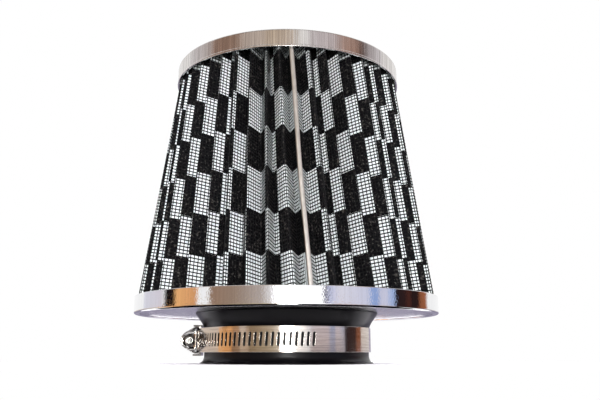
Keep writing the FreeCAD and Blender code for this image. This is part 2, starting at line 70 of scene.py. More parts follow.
Colour = tuple[float, float, float, float]
Corner = tuple[float, float, float]
WHITE: Colour = (1.0, 1.0, 1.0, 1.0)
BLACK: Colour = (0.0, 0.0, 0.0, 1.0)


class Body(Enum):
    """Bodies of the frame that pieces ride on."""

    FILTER = "filter"
    WORM = "worm"


class Slot(Enum):
    """Material slots of the record."""

    CHROME = "chrome"
    POTTING = "potting"
    RUBBER = "neck_rubber"
    FABRIC = "checked_fabric"
    CLIP = "clip_metal"
    SCREEN = "screen_metal"
    CLAMP = "clamp_steel"
    SCREW = "screw_steel"


class Grain(Enum):
    """How a texture is stretched along x, y and z; spun metal counts its distance from the axis as x."""

    EVEN = (1.0, 1.0, 1.0)
    UPRIGHT = (1.0, 1.0, 0.02)
    AROUND = (0.03, 0.03, 1.0)
    SPUN = (1.0, 0.0, 0.0)


def srgb(red: float, green: float, blue: float) -> Colour:
    """A colour as it shows on screen, turned into the light values that shaders use.

    Args:
        red: Red from 0 to 255.
        green: Green from 0 to 255.
        blue: Blue from 0 to 255.

    Returns:
        The colour with full opacity.
    """
    shares = [value / 255 for value in (red, green, blue)]
    light = [share / 12.92 if share <= 0.04045 else ((share + 0.055) / 1.055) ** 2.4 for share in shares]
    return (*light, 1.0)


class Nodes:
    """Node tree of a material or of the surroundings, with short calls to add to it."""

    def __init__(self, tree: bpy.types.NodeTree) -> None:
        """Take up a tree."""
        self.tree = tree

    def node(self, kind: str, inputs: dict[Any, Any] | None = None, **settings: Any) -> bpy.types.Node:
        """Add a node.

        Args:
            kind: Blender's name of the node type.
            inputs: Value or source socket for each input, by name or number.
            settings: Properties of the node itself.

        Returns:
            The new node.
        """
        node = self.tree.nodes.new(kind)
        for key, value in settings.items():
            setattr(node, key, value)
        self.fill(node, inputs or {})
        return node

    def fill(self, node: bpy.types.Node, inputs: dict[Any, Any]) -> None:
        """Set a node's inputs.

        Args:
            node: Node to set up.
            inputs: Value or source socket for each input, by name or number.
        """
        for key, value in inputs.items():
            if isinstance(value, bpy.types.NodeSocket):
                self.tree.links.new(value, node.inputs[key])
            else:
                node.inputs[key].default_value = value


class Shader(Nodes):
    """Nodes of one procedural material, with short calls for those that the finishes use."""

    def __init__(self, name: str) -> None:
        """Start a material with a Principled surface.

        Args:
            name: Name of the material.
        """
        self.material = bpy.data.materials.new(name)
        self.material.use_nodes = True
        super().__init__(self.material.node_tree)
        self.surface = self.tree.nodes["Principled BSDF"]
        self.place = self.node("ShaderNodeTexCoord")

    def noise(self, scale: float, detail: float = 3.0, grain: Grain = Grain.EVEN) -> bpy.types.NodeSocket:
        """Cloudy noise in the piece's own coordinates.

        Args:
            scale: Number of clouds to the metre.
            detail: Octaves of finer clouds.
            grain: How the clouds are stretched.

        Returns:
            The noise, from 0 to 1.
        """
        place = self.place.outputs["Object"]
        if grain is Grain.SPUN:
            plan = self.node("ShaderNodeVectorMath", {0: place, 1: (1.0, 1.0, 0.0)}, operation="MULTIPLY")
            out = self.node("ShaderNodeVectorMath", {0: plan.outputs["Vector"]}, operation="LENGTH")
            place = self.node("ShaderNodeCombineXYZ", {"X": out.outputs["Value"]}).outputs["Vector"]
        spread = self.node("ShaderNodeMapping", {"Vector": place, "Scale": grain.value})
        noise = self.node("ShaderNodeTexNoise",
                          {"Vector": spread.outputs["Vector"], "Scale": scale, "Detail": detail})
        return noise.outputs["Fac"]

    def bands(self, scale: float, direction: str, turn: float = 0.0) -> bpy.types.NodeSocket:
        """Parallel bands in the piece's cloth coordinates.

        Args:
            scale: Bands to the unit.
            direction: Axis that the bands cross, X or Y.
            turn: Turn of the bands.

        Returns:
            The bands, from 0 to 1.
        """
        lay = self.node("ShaderNodeMapping", {"Vector": self.place.outputs["UV"],
                                              "Rotation": (0.0, 0.0, math.radians(turn))})
        wave = self.node("ShaderNodeTexWave", {"Vector": lay.outputs["Vector"], "Scale": scale},
                         bands_direction=direction)
        return wave.outputs["Fac"]

    def ramp(self, factor: bpy.types.NodeSocket, *stops: tuple[float, Colour]) -> bpy.types.NodeSocket:
        """Colours along a factor.

        Args:
            factor: Place along the ramp.
            stops: Places and their colours, two or more.

        Returns:
            The colour.
        """
        ramp = self.node("ShaderNodeValToRGB", {"Fac": factor})
        elements = ramp.color_ramp.elements
        for _ in stops[2:]:
            elements.new(1.0)
        for element, (place, colour) in zip(elements, stops):
            element.position = place
            element.color = colour
        return ramp.outputs["Color"]

    def between(self, factor: bpy.types.NodeSocket, low: float, high: float) -> bpy.types.NodeSocket:
        """A number from low to high that follows the middle part of a noise."""
        limits = {"Value": factor, "From Min": NOISE_LOW, "From Max": NOISE_HIGH, "To Min": low, "To Max": high}
        return self.node("ShaderNodeMapRange", limits).outputs["Result"]

    def relief(self, height: bpy.types.NodeSocket, depth: float,
               under: bpy.types.NodeSocket | None = None) -> bpy.types.NodeSocket:
        """Bumps on the surface.

        Args:
            height: Height of the bumps, from 0 to 1.
            depth: Real height of a full bump.
            under: Relief that these bumps lie on.

        Returns:
            The bent normal.
        """
        inputs: dict[Any, Any] = {"Height": height, "Distance": depth * MM, "Strength": 1.0}
        if under is not None:
            inputs["Normal"] = under
        return self.node("ShaderNodeBump", inputs).outputs["Normal"]


@dataclass(frozen=True)
class MetalFinish:
    """Bare or plated metal with drawn streaks, faint waves and fine pits."""

    name: str
    bright: Colour
    dull: Colour
    roughness: tuple[float, float]
    grain: Grain = Grain.EVEN
    streak_scale: float = 1500.0
    streak_depth: float = 0.0
    wave_depth: float = 0.0
    pit_depth: float = 0.0
    cloud_scale: float = 60.0
    wave_scale: float = 45.0
    pit_scale: float = 1400.0

    def material(self) -> bpy.types.Material:
        """Build the material.

        Returns:
            The procedural metal.
        """
        shader = Shader(self.name)
        clouds = shader.noise(self.cloud_scale)
        streaks = shader.noise(self.streak_scale, detail=2.0, grain=self.grain)
        waves = shader.relief(shader.noise(self.wave_scale, detail=1.0), self.wave_depth)
        pits = shader.relief(shader.noise(self.pit_scale, detail=1.0), self.pit_depth, waves)
        shader.fill(shader.surface, {
            "Base Color": shader.ramp(streaks, (NOISE_LOW, self.dull), (NOISE_HIGH, self.bright)),
            "Metallic": 1.0,
            "Roughness": shader.between(clouds, *self.roughness),
            "Normal": shader.relief(streaks, self.streak_depth, pits),
        })
        return shader.material


@dataclass(frozen=True)
class MouldedFinish:
    """Moulded rubber or cast compound with a fine skin."""

    name: str
    dark: Colour
    pale: Colour
    roughness: tuple[float, float]
    skin_depth: float
    specular: float = 0.4
    cloud_scale: float = 90.0
    skin_scale: float = 2600.0
    gloss_scale: float = 400.0
    pale_from: float = 0.75

    def material(self) -> bpy.types.Material:
        """Build the material.

        Returns:
            The procedural rubber or compound.
        """
        shader = Shader(self.name)
        clouds = shader.noise(self.cloud_scale)
        skin = shader.noise(self.skin_scale, detail=2.0)
        shader.fill(shader.surface, {
            "Base Color": shader.ramp(clouds, (NOISE_LOW, self.dark), (self.pale_from, self.pale)),
            "Roughness": shader.between(shader.noise(self.gloss_scale), *self.roughness),
            "Specular IOR Level": self.specular,
            "Normal": shader.relief(skin, self.skin_depth),
        })
        return shader.material


@dataclass(frozen=True)
class ClothFinish:
    """Woven cloth or spun thread, with odd pale fibres; on the black print and the net thread these pale specks
    are painted glints of the net's crossings.
    """

    name: str
    dark: Colour
    pale: Colour
    fibre_and_glint: Colour
    roughness: float
    specular: float
    weave_scale: float
    weave_turn: float
    weave_depth: float
    tone_scale: float = 900.0
    tone_places: tuple[float, float, float] = (0.32, 0.57, 0.70)

    def material(self) -> bpy.types.Material:
        """Build the material.

        Returns:
            The procedural cloth.
        """
        shader = Shader(self.name)
        across = shader.relief(shader.bands(self.weave_scale, "X", self.weave_turn), self.weave_depth)
        along = shader.relief(shader.bands(self.weave_scale, "Y", self.weave_turn), self.weave_depth, across)
        tones = zip(self.tone_places, (self.dark, self.pale, self.fibre_and_glint))
        shader.fill(shader.surface, {
            "Base Color": shader.ramp(shader.noise(self.tone_scale, detail=4.0), *tones),
            "Roughness": self.roughness,
            "Specular IOR Level": self.specular,
            "Normal": along,
        })
        return shader.material


# Bright and dull colour, range of roughness, grain, scale and depth of the streaks, depth of waves and of pits.
CAP_CHROME = MetalFinish("cap_chrome", (0.74, 0.71, 0.69, 1), (0.50, 0.47, 0.45, 1), (0.14, 0.22),
                         Grain.UPRIGHT, 1500.0, 0.040, 0.15, 0.0010)
CAP_SPUN = MetalFinish("cap_spun_top", (0.82, 0.80, 0.79, 1), (0.64, 0.62, 0.61, 1), (0.16, 0.26),
                       Grain.SPUN, 1300.0, 0.006, 0.20, 0.0010)
BASE_CHROME = MetalFinish("base_chrome", (0.87, 0.87, 0.88, 1), (0.80, 0.80, 0.81, 1), (0.03, 0.08),
                          Grain.UPRIGHT, 1500.0, 0.004, 0.12, 0.0280)
BAND_STEEL = MetalFinish("band_steel", (0.82, 0.77, 0.72, 1), (0.64, 0.59, 0.55, 1), (0.09, 0.17),
                         Grain.AROUND, 2200.0, 0.0015, 0.10, 0.0010)
HOUSING_STEEL = MetalFinish("housing_steel", (0.84, 0.83, 0.80, 1), (0.68, 0.67, 0.63, 1), (0.05, 0.12),
                            Grain.EVEN, 900.0, 0.002, 0.03, 0.0008)
# Dark copy of the housing steel: painted shade for the groove and boss round the worm's hole and for the inside
# of the arch.
HOLLOW_SHADE_STEEL = MetalFinish("hollow_shade_steel", (0.14, 0.13, 0.12, 1), (0.05, 0.045, 0.04, 1), (0.18, 0.30),
                           Grain.EVEN, 900.0, 0.002, 0.03, 0.0008)
# The saddle's steel is darkened as painted shade beside the housing, between it and the band.
SHADED_SADDLE_STEEL = MetalFinish("shaded_saddle_steel", (0.24, 0.23, 0.22, 1), (0.14, 0.13, 0.13, 1), (0.10, 0.18),
                           Grain.EVEN, 900.0, 0.002, 0.03, 0.0008)
SCREW_ZINC = MetalFinish("screw_zinc", (0.88, 0.88, 0.87, 1), (0.72, 0.72, 0.70, 1), (0.14, 0.24),
                         Grain.EVEN, 1200.0, 0.003, 0.02, 0.0010)
CLIP_ALUMINIUM = MetalFinish("clip_aluminium", (0.74, 0.71, 0.67, 1), (0.54, 0.515, 0.485, 1), (0.34, 0.48),
                             Grain.UPRIGHT, 1800.0, 0.008, 0.10, 0.0020)
SCREEN_ZINC = MetalFinish("screen_zinc", (0.62, 0.62, 0.63, 1), (0.42, 0.42, 0.43, 1), (0.30, 0.50),
                          Grain.EVEN, 220.0, 0.002, 0.02, 0.0010)
# Dark and pale colour, range of roughness, depth of the skin, and specular level.
NECK_RUBBER = MouldedFinish("black_rubber", srgb(6, 5, 8), srgb(11, 10, 13), (0.28, 0.34), 0.003, 0.18)
POTTING = MouldedFinish("potting_compound", srgb(38, 38, 40), srgb(58, 57, 58), (0.40, 0.60), 0.030, 0.3)
# Dark, pale and fibre-and-glint colour, roughness, specular level, and the weave's scale, turn and depth.
WHITE_PRINT = ClothFinish("white_print", srgb(218, 226, 228), srgb(240, 245, 246), srgb(247, 249, 249),
                          0.85, 0.15, 0.8, 0.0, 0.03)
# The pale specks of the black print and of the net thread are painted glints where the net's crossings catch
# the light.
BLACK_PRINT = ClothFinish("black_print", srgb(8, 8, 9), srgb(18, 18, 20), srgb(82, 78, 74),
                          0.90, 0.04, 0.6, 35.0, 0.05)
INNER_FELT = ClothFinish("inner_felt", srgb(120, 120, 118), srgb(165, 165, 162), srgb(190, 189, 186),
                         0.90, 0.10, 0.5, 20.0, 0.05)
NET_THREAD = ClothFinish("net_thread", srgb(7, 7, 8), srgb(15, 15, 17), srgb(66, 63, 60),
                         0.60, 0.10, 2.0, 45.0, 0.01)


def put_up(name: str, data: bpy.types.ID) -> bpy.types.Object:
    """Make an object and link it to the scene.

    Args:
        name: Name of the object.
        data: Its mesh, lamp or camera.

    Returns:
        The new object.
    """
    thing = bpy.data.objects.new(name, data)
    bpy.context.scene.collection.objects.link(thing)
    return thing


@dataclass
class Piece:
    """A new mesh of the filter, ready to be put on a body of the frame."""

    name: str
    mesh: bpy.types.Mesh
    body: Body
    slot: Slot
    stands_for: tuple[str, ...] = ()

    def show(self) -> bpy.types.Object:
        """Put the mesh in the scene on its body.

        Returns:
            The new object.
        """
        piece = put_up(self.name, self.mesh)
        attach(piece, self.body.value)
        if self.stands_for:
            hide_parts(*self.stands_for)
        log.info("%s: %d faces on %s", self.name, len(self.mesh.polygons), self.body.value)
        return piece


def node_mm(name: str) -> tuple[Vector, Vector]:
    """Lowest and highest corners of a solid of the frame, by the name of its node."""
    low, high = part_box(name)
    return low / MM, high / MM


def quads(*corners: np.ndarray) -> np.ndarray:
    """Four arrays of corner numbers as rows of faces."""
    return np.stack(corners, axis=-1).reshape(-1, 4)


def tube_faces(rows: int, count: int, first: int = 0) -> list[list[int]]:
    """Faces of a tube of rings with both its ends filled.

    Args:
        rows: Number of rings.
        count: Points in a ring.
        first: Number of the first point.

    Returns:
        Corner numbers of each face.
    """
    number = first + np.arange(rows * count).reshape(rows, count)
    ahead = np.roll(number, -1, axis=1)
    faces = quads(number[:-1], ahead[:-1], ahead[1:], number[1:]).tolist()
    return faces + [number[0, ::-1].tolist(), number[-1].tolist()]


def new_mesh(name: str, points: np.ndarray, faces: Sequence[Sequence[int]],
             *finishes: bpy.types.Material) -> bpy.types.Mesh:
    """Make a smooth-shaded mesh.

    Args:
        name: Name of the mesh.
        points: Corner points.
        faces: Corner numbers of each face.
        finishes: Materials of the mesh, in order.

    Returns:
        The mesh, in metres.
    """
    mesh = bpy.data.meshes.new(name)
    mesh.from_pydata((np.asarray(points).reshape(-1, 3) * MM).tolist(), [], faces)
    for finish in finishes:
        mesh.materials.append(finish)
    mesh.shade_smooth()
    mesh.set_sharp_from_angle(angle=SMOOTH_ANGLE)
    return mesh


def eased(corners: Sequence[Corner], steps: int = 6) -> np.ndarray:
    """A closed outline with rounded corners.

    Args:
        corners: Two coordinates and an easing for each corner; the easing is how far from the corner it starts.
        steps: Sides of a rounded corner.

    Returns:
        The outline's points.
    """
    points = []
    turns = np.linspace(0, 1, steps + 1)[:, None]
    for before, corner, after in zip(corners[-1:] + corners[:-1], corners, corners[1:] + corners[:1]):
        middle = np.array(corner[:2])
        if corner[2] == 0:
            points.append(middle[None])
            continue
        ends = []
        for other in (before, after):
            run = np.array(other[:2]) - middle
            ends.append(middle + run * min(corner[2] / np.linalg.norm(run), 0.5))
        points.append((1 - turns) ** 2 * ends[0] + 2 * turns * (1 - turns) * middle + turns ** 2 * ends[1])
    return np.concatenate(points)


def hold_flats(outline: np.ndarray, margin: float = 0.35) -> np.ndarray:
    """Add points near both ends of an outline's long runs, so that smooth shading leaves the runs straight.

    Args:
        outline: Points of a closed outline.
        margin: Distance of the new points from the ends.

    Returns:
        The outline with the new points.
    """
    points = []
    for start, end in zip(outline, np.roll(outline, -1, axis=0)):
        length = np.linalg.norm(end - start)
        points.append(start)
        if length > 4 * margin:
            run = (end - start) * margin / length
            points += [start + run, end - run]
    return np.array(points)


def turned(name: str, outline: np.ndarray, finish: bpy.types.Material, sides: int = 288) -> bpy.types.Mesh:
    """Turn a closed outline about the filter's axis.

    Args:
        name: Name of the mesh.
        outline: Radii and heights.
        finish: Material of the mesh.
        sides: Steps around the axis.

    Returns:
        The closed mesh.
    """
    outline = hold_flats(outline)
    turns = np.linspace(0, 2 * math.pi, sides, endpoint=False)[:, None]
    radius, height = outline[:, 0], outline[:, 1]
    points = np.stack([radius * np.cos(turns), radius * np.sin(turns), height + 0 * turns], axis=-1)
    count = len(outline)
    faces = [(side * count + place, (side + 1) % sides * count + place,
              (side + 1) % sides * count + (place + 1) % count, side * count + (place + 1) % count)
             for side in range(sides) for place in range(count)]
    mesh = new_mesh(name, points, faces, finish)
    make_sound(mesh)
    return mesh


def make_sound(mesh: bpy.types.Mesh) -> None:
    """Join doubled points and turn every face outwards.

    Args:
        mesh: Closed mesh to mend.
    """
    solid = bmesh.new()
    solid.from_mesh(mesh)
    bmesh.ops.remove_doubles(solid, verts=solid.verts, dist=SAME_POINT)
    bmesh.ops.dissolve_degenerate(solid, edges=solid.edges, dist=SAME_POINT)
    bmesh.ops.recalc_face_normals(solid, faces=solid.faces)
    solid.to_mesh(mesh)
    solid.free()
    mesh.shade_smooth()
    mesh.set_sharp_from_angle(angle=SMOOTH_ANGLE)


def lay_flat(mesh: bpy.types.Mesh, flat: np.ndarray) -> None:
    """Store where each point lies when the surface is laid out flat.

    Args:
        mesh: Mesh of the surface.
        flat: Place of each point on the flat surface.
    """
    corners = np.zeros(len(mesh.loops), dtype=int)
    mesh.loops.foreach_get("vertex_index", corners)
    layer = mesh.uv_layers.new(name="flat")
    layer.data.foreach_set("uv", flat[corners].ravel())


def dress_node(node: str, finish: bpy.types.Material) -> bpy.types.Object:
    """Give a solid of the frame a finish.

    Args:
        node: Name of the node.
        finish: Its material.

    Returns:
        The node's object.
    """
    solid = frame["nodes"][node]
    solid.data.materials.clear()
    solid.data.materials.append(finish)
    log.info("%s: dressed with %s", node, finish.name)
    return solid


@dataclass
class ChromeShells:
    """The cap and the base ring, drawn from chromed sheet."""

    sheet: float = 1.2
    cap_rim: float = 9.0
    cap_dish: float = 1.2
    cap_edge: float = 1.0
    base_bead: float = 3.0
    base_recess: float = 1.0
    base_edge: float = 0.9
    bead_edge: float = 0.3
    hem: float = 0.3
    bead_out: float = 0.2
    bead_height: float = 1.0
    bead_ease: float = 0.15
    dish_ease: float = 1.2
    inner_ease: float = 0.8
    floor_ease: float = 0.6
    spun_tilt: float = 0.75

    def cap_outline(self) -> np.ndarray:
        """Section of the cap, mouth down.

        Returns:
            Radii and heights.
        """
        low, high = node_mm("top_cap")
        outer, top, mouth = high.x, high.z, low.z
        inner, under, wall = outer - self.sheet, top - self.sheet, outer - self.bead_out
        dish = outer - self.cap_rim
        floor = dish - self.cap_dish
        return eased([
            (0, top - self.cap_dish, 0), (floor, top - self.cap_dish, self.dish_ease),
            (dish, top, self.dish_ease), (wall, top, self.cap_edge),
            (wall, mouth + self.bead_height + self.bead_out, self.bead_ease),
            (outer, mouth + self.bead_height, self.hem), (outer, mouth, self.hem), (inner, mouth, self.hem),
            (inner, under, self.inner_ease), (dish, under, self.inner_ease),
            (floor, under - self.cap_dish, self.inner_ease), (0, under - self.cap_dish, 0),
        ])

    def base_outline(self) -> np.ndarray:
        """Section of the base ring, mouth up.

        Returns:
            Radii and heights.
        """
        low, high = node_mm("base_ring")
        outer, rim, top = high.x, low.z, high.z
        inner, bead = outer - self.sheet, outer - self.base_bead
        floor = rim + self.base_recess
        hole = self.floor_hole()
        return eased([
            (outer, rim, self.base_edge), (outer, top, self.hem), (inner, top, self.hem),
            (inner, floor + self.sheet, self.floor_ease), (hole, floor + self.sheet, 0), (hole, floor, 0),
            (bead, floor, self.bead_edge), (bead, rim, self.bead_edge),
        ])

    def floor_hole(self) -> float:
        """Radius of the hole in the base ring's floor, read from the node's own corners."""
        corners = np.array([corner.co for corner in frame["nodes"]["base_ring"].data.vertices])
        return float(np.hypot(corners[:, 0], corners[:, 1]).min() / MM)

    def build(self) -> None:
        """Make both shells."""
        cap = turned("chrome_cap", self.cap_outline(), CAP_CHROME.material())
        cap.materials.append(CAP_SPUN.material())
        spun = [int(abs(face.normal.z) > self.spun_tilt) for face in cap.polygons]
        cap.polygons.foreach_set("material_index", spun)
        Piece("chrome_cap", cap, Body.FILTER, Slot.CHROME, ("top_cap",)).show()
        base = turned("chrome_base", self.base_outline(), BASE_CHROME.material())
        Piece("chrome_base", base, Body.FILTER, Slot.CHROME, ("base_ring",)).show()


@dataclass
class RubberNeck:
    """The moulded inlet, with a lip at its mouth and a groove around the base ring's floor."""

    bore: float = 38.0
    wall: float = 4.0
    lip_height: float = 2.4
    lip_out: float = 2.15
    lip_tip: float = 0.5
    flare_out: float = 5.0
    flare_height: float = 7.0
    flange_height: float = 2.2
    bell_out: float = 5.0
    floor_low: float = 25.0
    floor_high: float = 26.2
    hole: float = 44.5
    mouth_ease: float = 0.6
    lip_ease: float = 0.2
    root_ease: float = 0.9
    flare_ease: float = 3.5
    seat_ease: float = 0.5
    flange_ease: float = 0.8
    groove_ease: float = 0.3
    bell_ease: float = 1.0
    bore_ease: float = 2.5

    def outline(self) -> np.ndarray:
        """Section of the neck.

        Returns:
            Radii and heights.
        """
        low, high = node_mm("rubber_neck")
        neck = self.bore + self.wall
        lip = neck + self.lip_out
        return eased([
            (self.bore, low.z, self.mouth_ease),
            (lip, low.z, self.lip_ease), (lip, self.lip_tip, self.lip_ease),
            (neck + self.lip_out / 3, self.lip_height / 2, self.root_ease),
            (neck, self.lip_height + self.lip_tip, self.root_ease),
            (neck, self.floor_low - self.flare_height, self.flare_ease),
            (neck + self.flare_out, self.floor_low, self.seat_ease),
            (self.hole, self.floor_low, 0), (self.hole, self.floor_high, 0),
            (high.x, self.floor_high, self.groove_ease), (high.x, high.z, self.flange_ease),
            (self.bore + self.bell_out, high.z, self.bell_ease),
            (self.bore, high.z - self.flange_height - self.bell_out, self.bore_ease),
        ])

    def build(self) -> None:
        """Make the neck."""
        neck = turned("moulded_neck", self.outline(), NECK_RUBBER.material())
        Piece("moulded_neck", neck, Body.FILTER, Slot.RUBBER, ("rubber_neck",)).show()


@dataclass
class Folds:
    """Shape of the folded fabric: place u counts facets from the seam, even on ridges and odd in valleys."""

    count: int = 50
    depth: float = 9.0
    twist: float = 6.5
    seam_turn: float = 9.0
    ridge_low: float = 76.1
    ridge_mouth: float = 59.1
    mouth_height: float = 146.8
    ease_out: float = 0.24
    ease_in: float = 0.16
    seam_drop: float = 1.95
    row_lean: float = 0.139
    sway_angle: float = 0.30
    sway_radius: float = 0.22
    sway_seed: int = 11
    normal_step: float = 0.03
    foot_pulls: tuple[tuple[int, float], ...] = (
        (-26, 0.0), (-7, 0.0), (-6, 0.7), (-5, 0.8), (-4, 0.9), (-3, -0.9), (-2, 1.8), (-1, 0.9),
        (0, 0.0), (2, 0.3), (3, 1.0), (5, 0.7), (7, 0.0), (11, -1.6), (15, -2.4), (28, 0.0))
    top_pulls: tuple[tuple[int, float], ...] = (
        (-26, 0.0), (-16, 1.6), (-6, 2.0), (-5, 0.6), (-4, 2.1), (-3, 0.0),
        (0, 0.0), (2, 0.3), (4, 0.7), (7, 0.0), (11, 2.4), (15, 2.4), (28, 0.0))
    low: float = field(init=False)
    high: float = field(init=False)
    turn_sway: np.ndarray = field(init=False)
    depth_sway: np.ndarray = field(init=False)
    foot_pull: np.ndarray = field(init=False)
    top_pull: np.ndarray = field(init=False)

    def __post_init__(self) -> None:
        """Read the ends of the folds from the frame and draw each fold's small departures."""
        low, high = node_mm("pleated_media")
        self.low, self.high = low.z, high.z
        draw = np.random.default_rng(self.sway_seed)
        self.turn_sway = draw.uniform(-self.sway_angle, self.sway_angle, self.facets)
        self.depth_sway = draw.uniform(-self.sway_radius, 0, self.facets)
        self.turn_sway[0] = self.depth_sway[0] = 0
        self.foot_pull, self.top_pull = self.pulled(self.foot_pulls), self.pulled(self.top_pulls)

    @property
    def facets(self) -> int:
        """Flat facets around the element, two to a fold."""
        return 2 * self.count

    def pulled(self, pulls: tuple[tuple[int, float], ...]) -> np.ndarray:
        """Turn of every corner out of its even place.

        Args:
            pulls: Number of a corner, less than nothing left of the seam, and its turn.

        Returns:
            Turns of all the corners, from the seam round to it again.
        """
        numbers, turns = np.array(pulls).T
        half = self.facets // 2
        return np.roll(np.interp(np.arange(-half, half), numbers, turns), half)

    def rounds(self, corners: np.ndarray, reach: float, points: int) -> np.ndarray:
        """Places spread over the rounding of some corners.

        Args:
            corners: Numbers of the corners.
            reach: Share of the rounding to spread them over.
            points: Places to a corner.

        Returns:
            The places, in facets from the seam.
        """
        ease = np.where(corners % 2 == 0, self.ease_out, self.ease_in)
        return (corners[:, None] + ease[:, None] * np.linspace(-reach, reach, points)).ravel()

    def ridge(self, height: np.ndarray) -> np.ndarray:
        """Radius of the fold tips at a height."""
        slope = (self.ridge_mouth - self.ridge_low) / (self.mouth_height - self.low)
        return self.ridge_low + slope * (height - self.low)

    def seam_angle(self, height: np.ndarray) -> np.ndarray:
        """Angle of the seam at a height, counted from +X."""
        return self.seam_turn - 90 - self.twist * (height - self.low) / (self.high - self.low)

    def corner(self, number: np.ndarray, height: np.ndarray, inset: float) -> np.ndarray:
        """Where two neighbouring facets would meet.

        Args:
            number: Number of the corner, even on ridges.
            height: Height above the mouth.
            inset: How far the surface lies inside the outer one.

        Returns:
            Points in plan.
        """
        span = self.depth / (1 - (self.ease_out + self.ease_in) / 2)
        place = number % self.facets
        share = np.clip((height - self.low) / (self.high - self.low), 0, 1)
        held = np.sin(math.pi * share) ** 0.5
        radius = self.ridge(height) - inset + held * self.depth_sway[place]
        on_ridge, in_valley = span * self.ease_out / 2, -self.depth - span * self.ease_in / 2
        radius = radius + np.where(number % 2 == 0, on_ridge, in_valley)
        radius = radius - np.where(place == 0, self.seam_drop, 0)
        turn = self.seam_angle(height) + number * 360 / self.facets
        turn = turn + held * self.turn_sway[place] + self.foot_pull[place] + share * self.top_pull[place]
        angle = np.radians(turn)
        return np.stack([radius * np.cos(angle), radius * np.sin(angle)], axis=-1)

    def surface(self, place: np.ndarray, height: np.ndarray, inset: float = 0.0) -> np.ndarray:
        """Points of the folded surface, flat on the facets and round on the folds.

        Args:
            place: Place around the element, in facets from the seam.
            height: Height above the mouth.
            inset: How far the surface lies inside the outer one.

        Returns:
            Points in space.
        """
        first = np.floor(place).astype(int)
        share = (place - first)[..., None]
        flat = (1 - share) * self.corner(first, height, inset) + share * self.corner(first + 1, height, inset)
        near = np.round(place).astype(int)
        ease = np.where(near % 2 == 0, self.ease_out, self.ease_in)
        turn = np.clip((place - near + ease) / (2 * ease), 0, 1)[..., None]
        tip = self.corner(near, height, inset)
        start = tip + ease[..., None] * (self.corner(near - 1, height, inset) - tip)
        end = tip + ease[..., None] * (self.corner(near + 1, height, inset) - tip)
        bend = (1 - turn) ** 2 * start + 2 * turn * (1 - turn) * tip + turn ** 2 * end
        plan = np.where((np.abs(place - near) < ease)[..., None], bend, flat)
        return np.concatenate([plan, height[..., None]], axis=-1)

    def outward(self, place: np.ndarray, height: np.ndarray) -> np.ndarray:
        """Unit normals of the folded surface.

        Args:
            place: Place around the element, in facets from the seam.
            height: Height above the mouth.

        Returns:
            Directions that point away from the fabric.
        """
        step = self.normal_step
        around = self.surface(place + step, height) - self.surface(place - step, height)
        up = self.surface(place, height + 1) - self.surface(place, height - 1)
        normal = np.cross(around, up)
        return normal / np.linalg.norm(normal, axis=-1, keepdims=True)

    def fall(self, place: np.ndarray, level: np.ndarray) -> np.ndarray:
        """Height on the fabric of a line woven square to the folds, by its height on the ridges."""
        inward = 1 - np.abs(place % 2 - 1)
        return np.clip(level - self.row_lean * self.depth * inward, self.low, self.high)


@dataclass
class CheckPrint:
    """Black and white checks printed on the fabric, counted in facets from the seam and rows from the base."""

    first_edge: float = 1.67
    cell: float = 1.6777
    last_cell: int = 58
    row_start: float = 28.1
    row_pitch: float = 19.6

    def edges(self, facets: int) -> np.ndarray:
        """Places where one check ends and the next starts."""
        return np.arange(self.first_edge, facets, self.cell)[:self.last_cell]

    def white(self, place: np.ndarray, level: np.ndarray) -> np.ndarray:
        """Tell white checks from black ones.

        Args:
            place: Place around the element, in facets from the seam.
            level: Height of the row on the ridges.
        """
        column = np.clip(np.floor((place - self.first_edge) / self.cell) + 1, 0, self.last_cell)
        row = np.floor((level - self.row_start) / self.row_pitch)
        return (column + row) % 2 == 0

    def levels(self, low: float, high: float, splits: int) -> np.ndarray:
        """Heights on the ridges from one end of the fabric to the other, with every row's edge among them.

        Args:
            low: Lower end.
            high: Upper end.
            splits: Steps in one row.

        Returns:
            The heights.
        """
        step = self.row_pitch / splits
        inner = np.arange(self.row_start, high + self.row_pitch, step)
        margin = step / 3
        inner = inner[(inner > low + margin) & (inner < high - margin)]
        return np.concatenate([[low], inner, [high]])


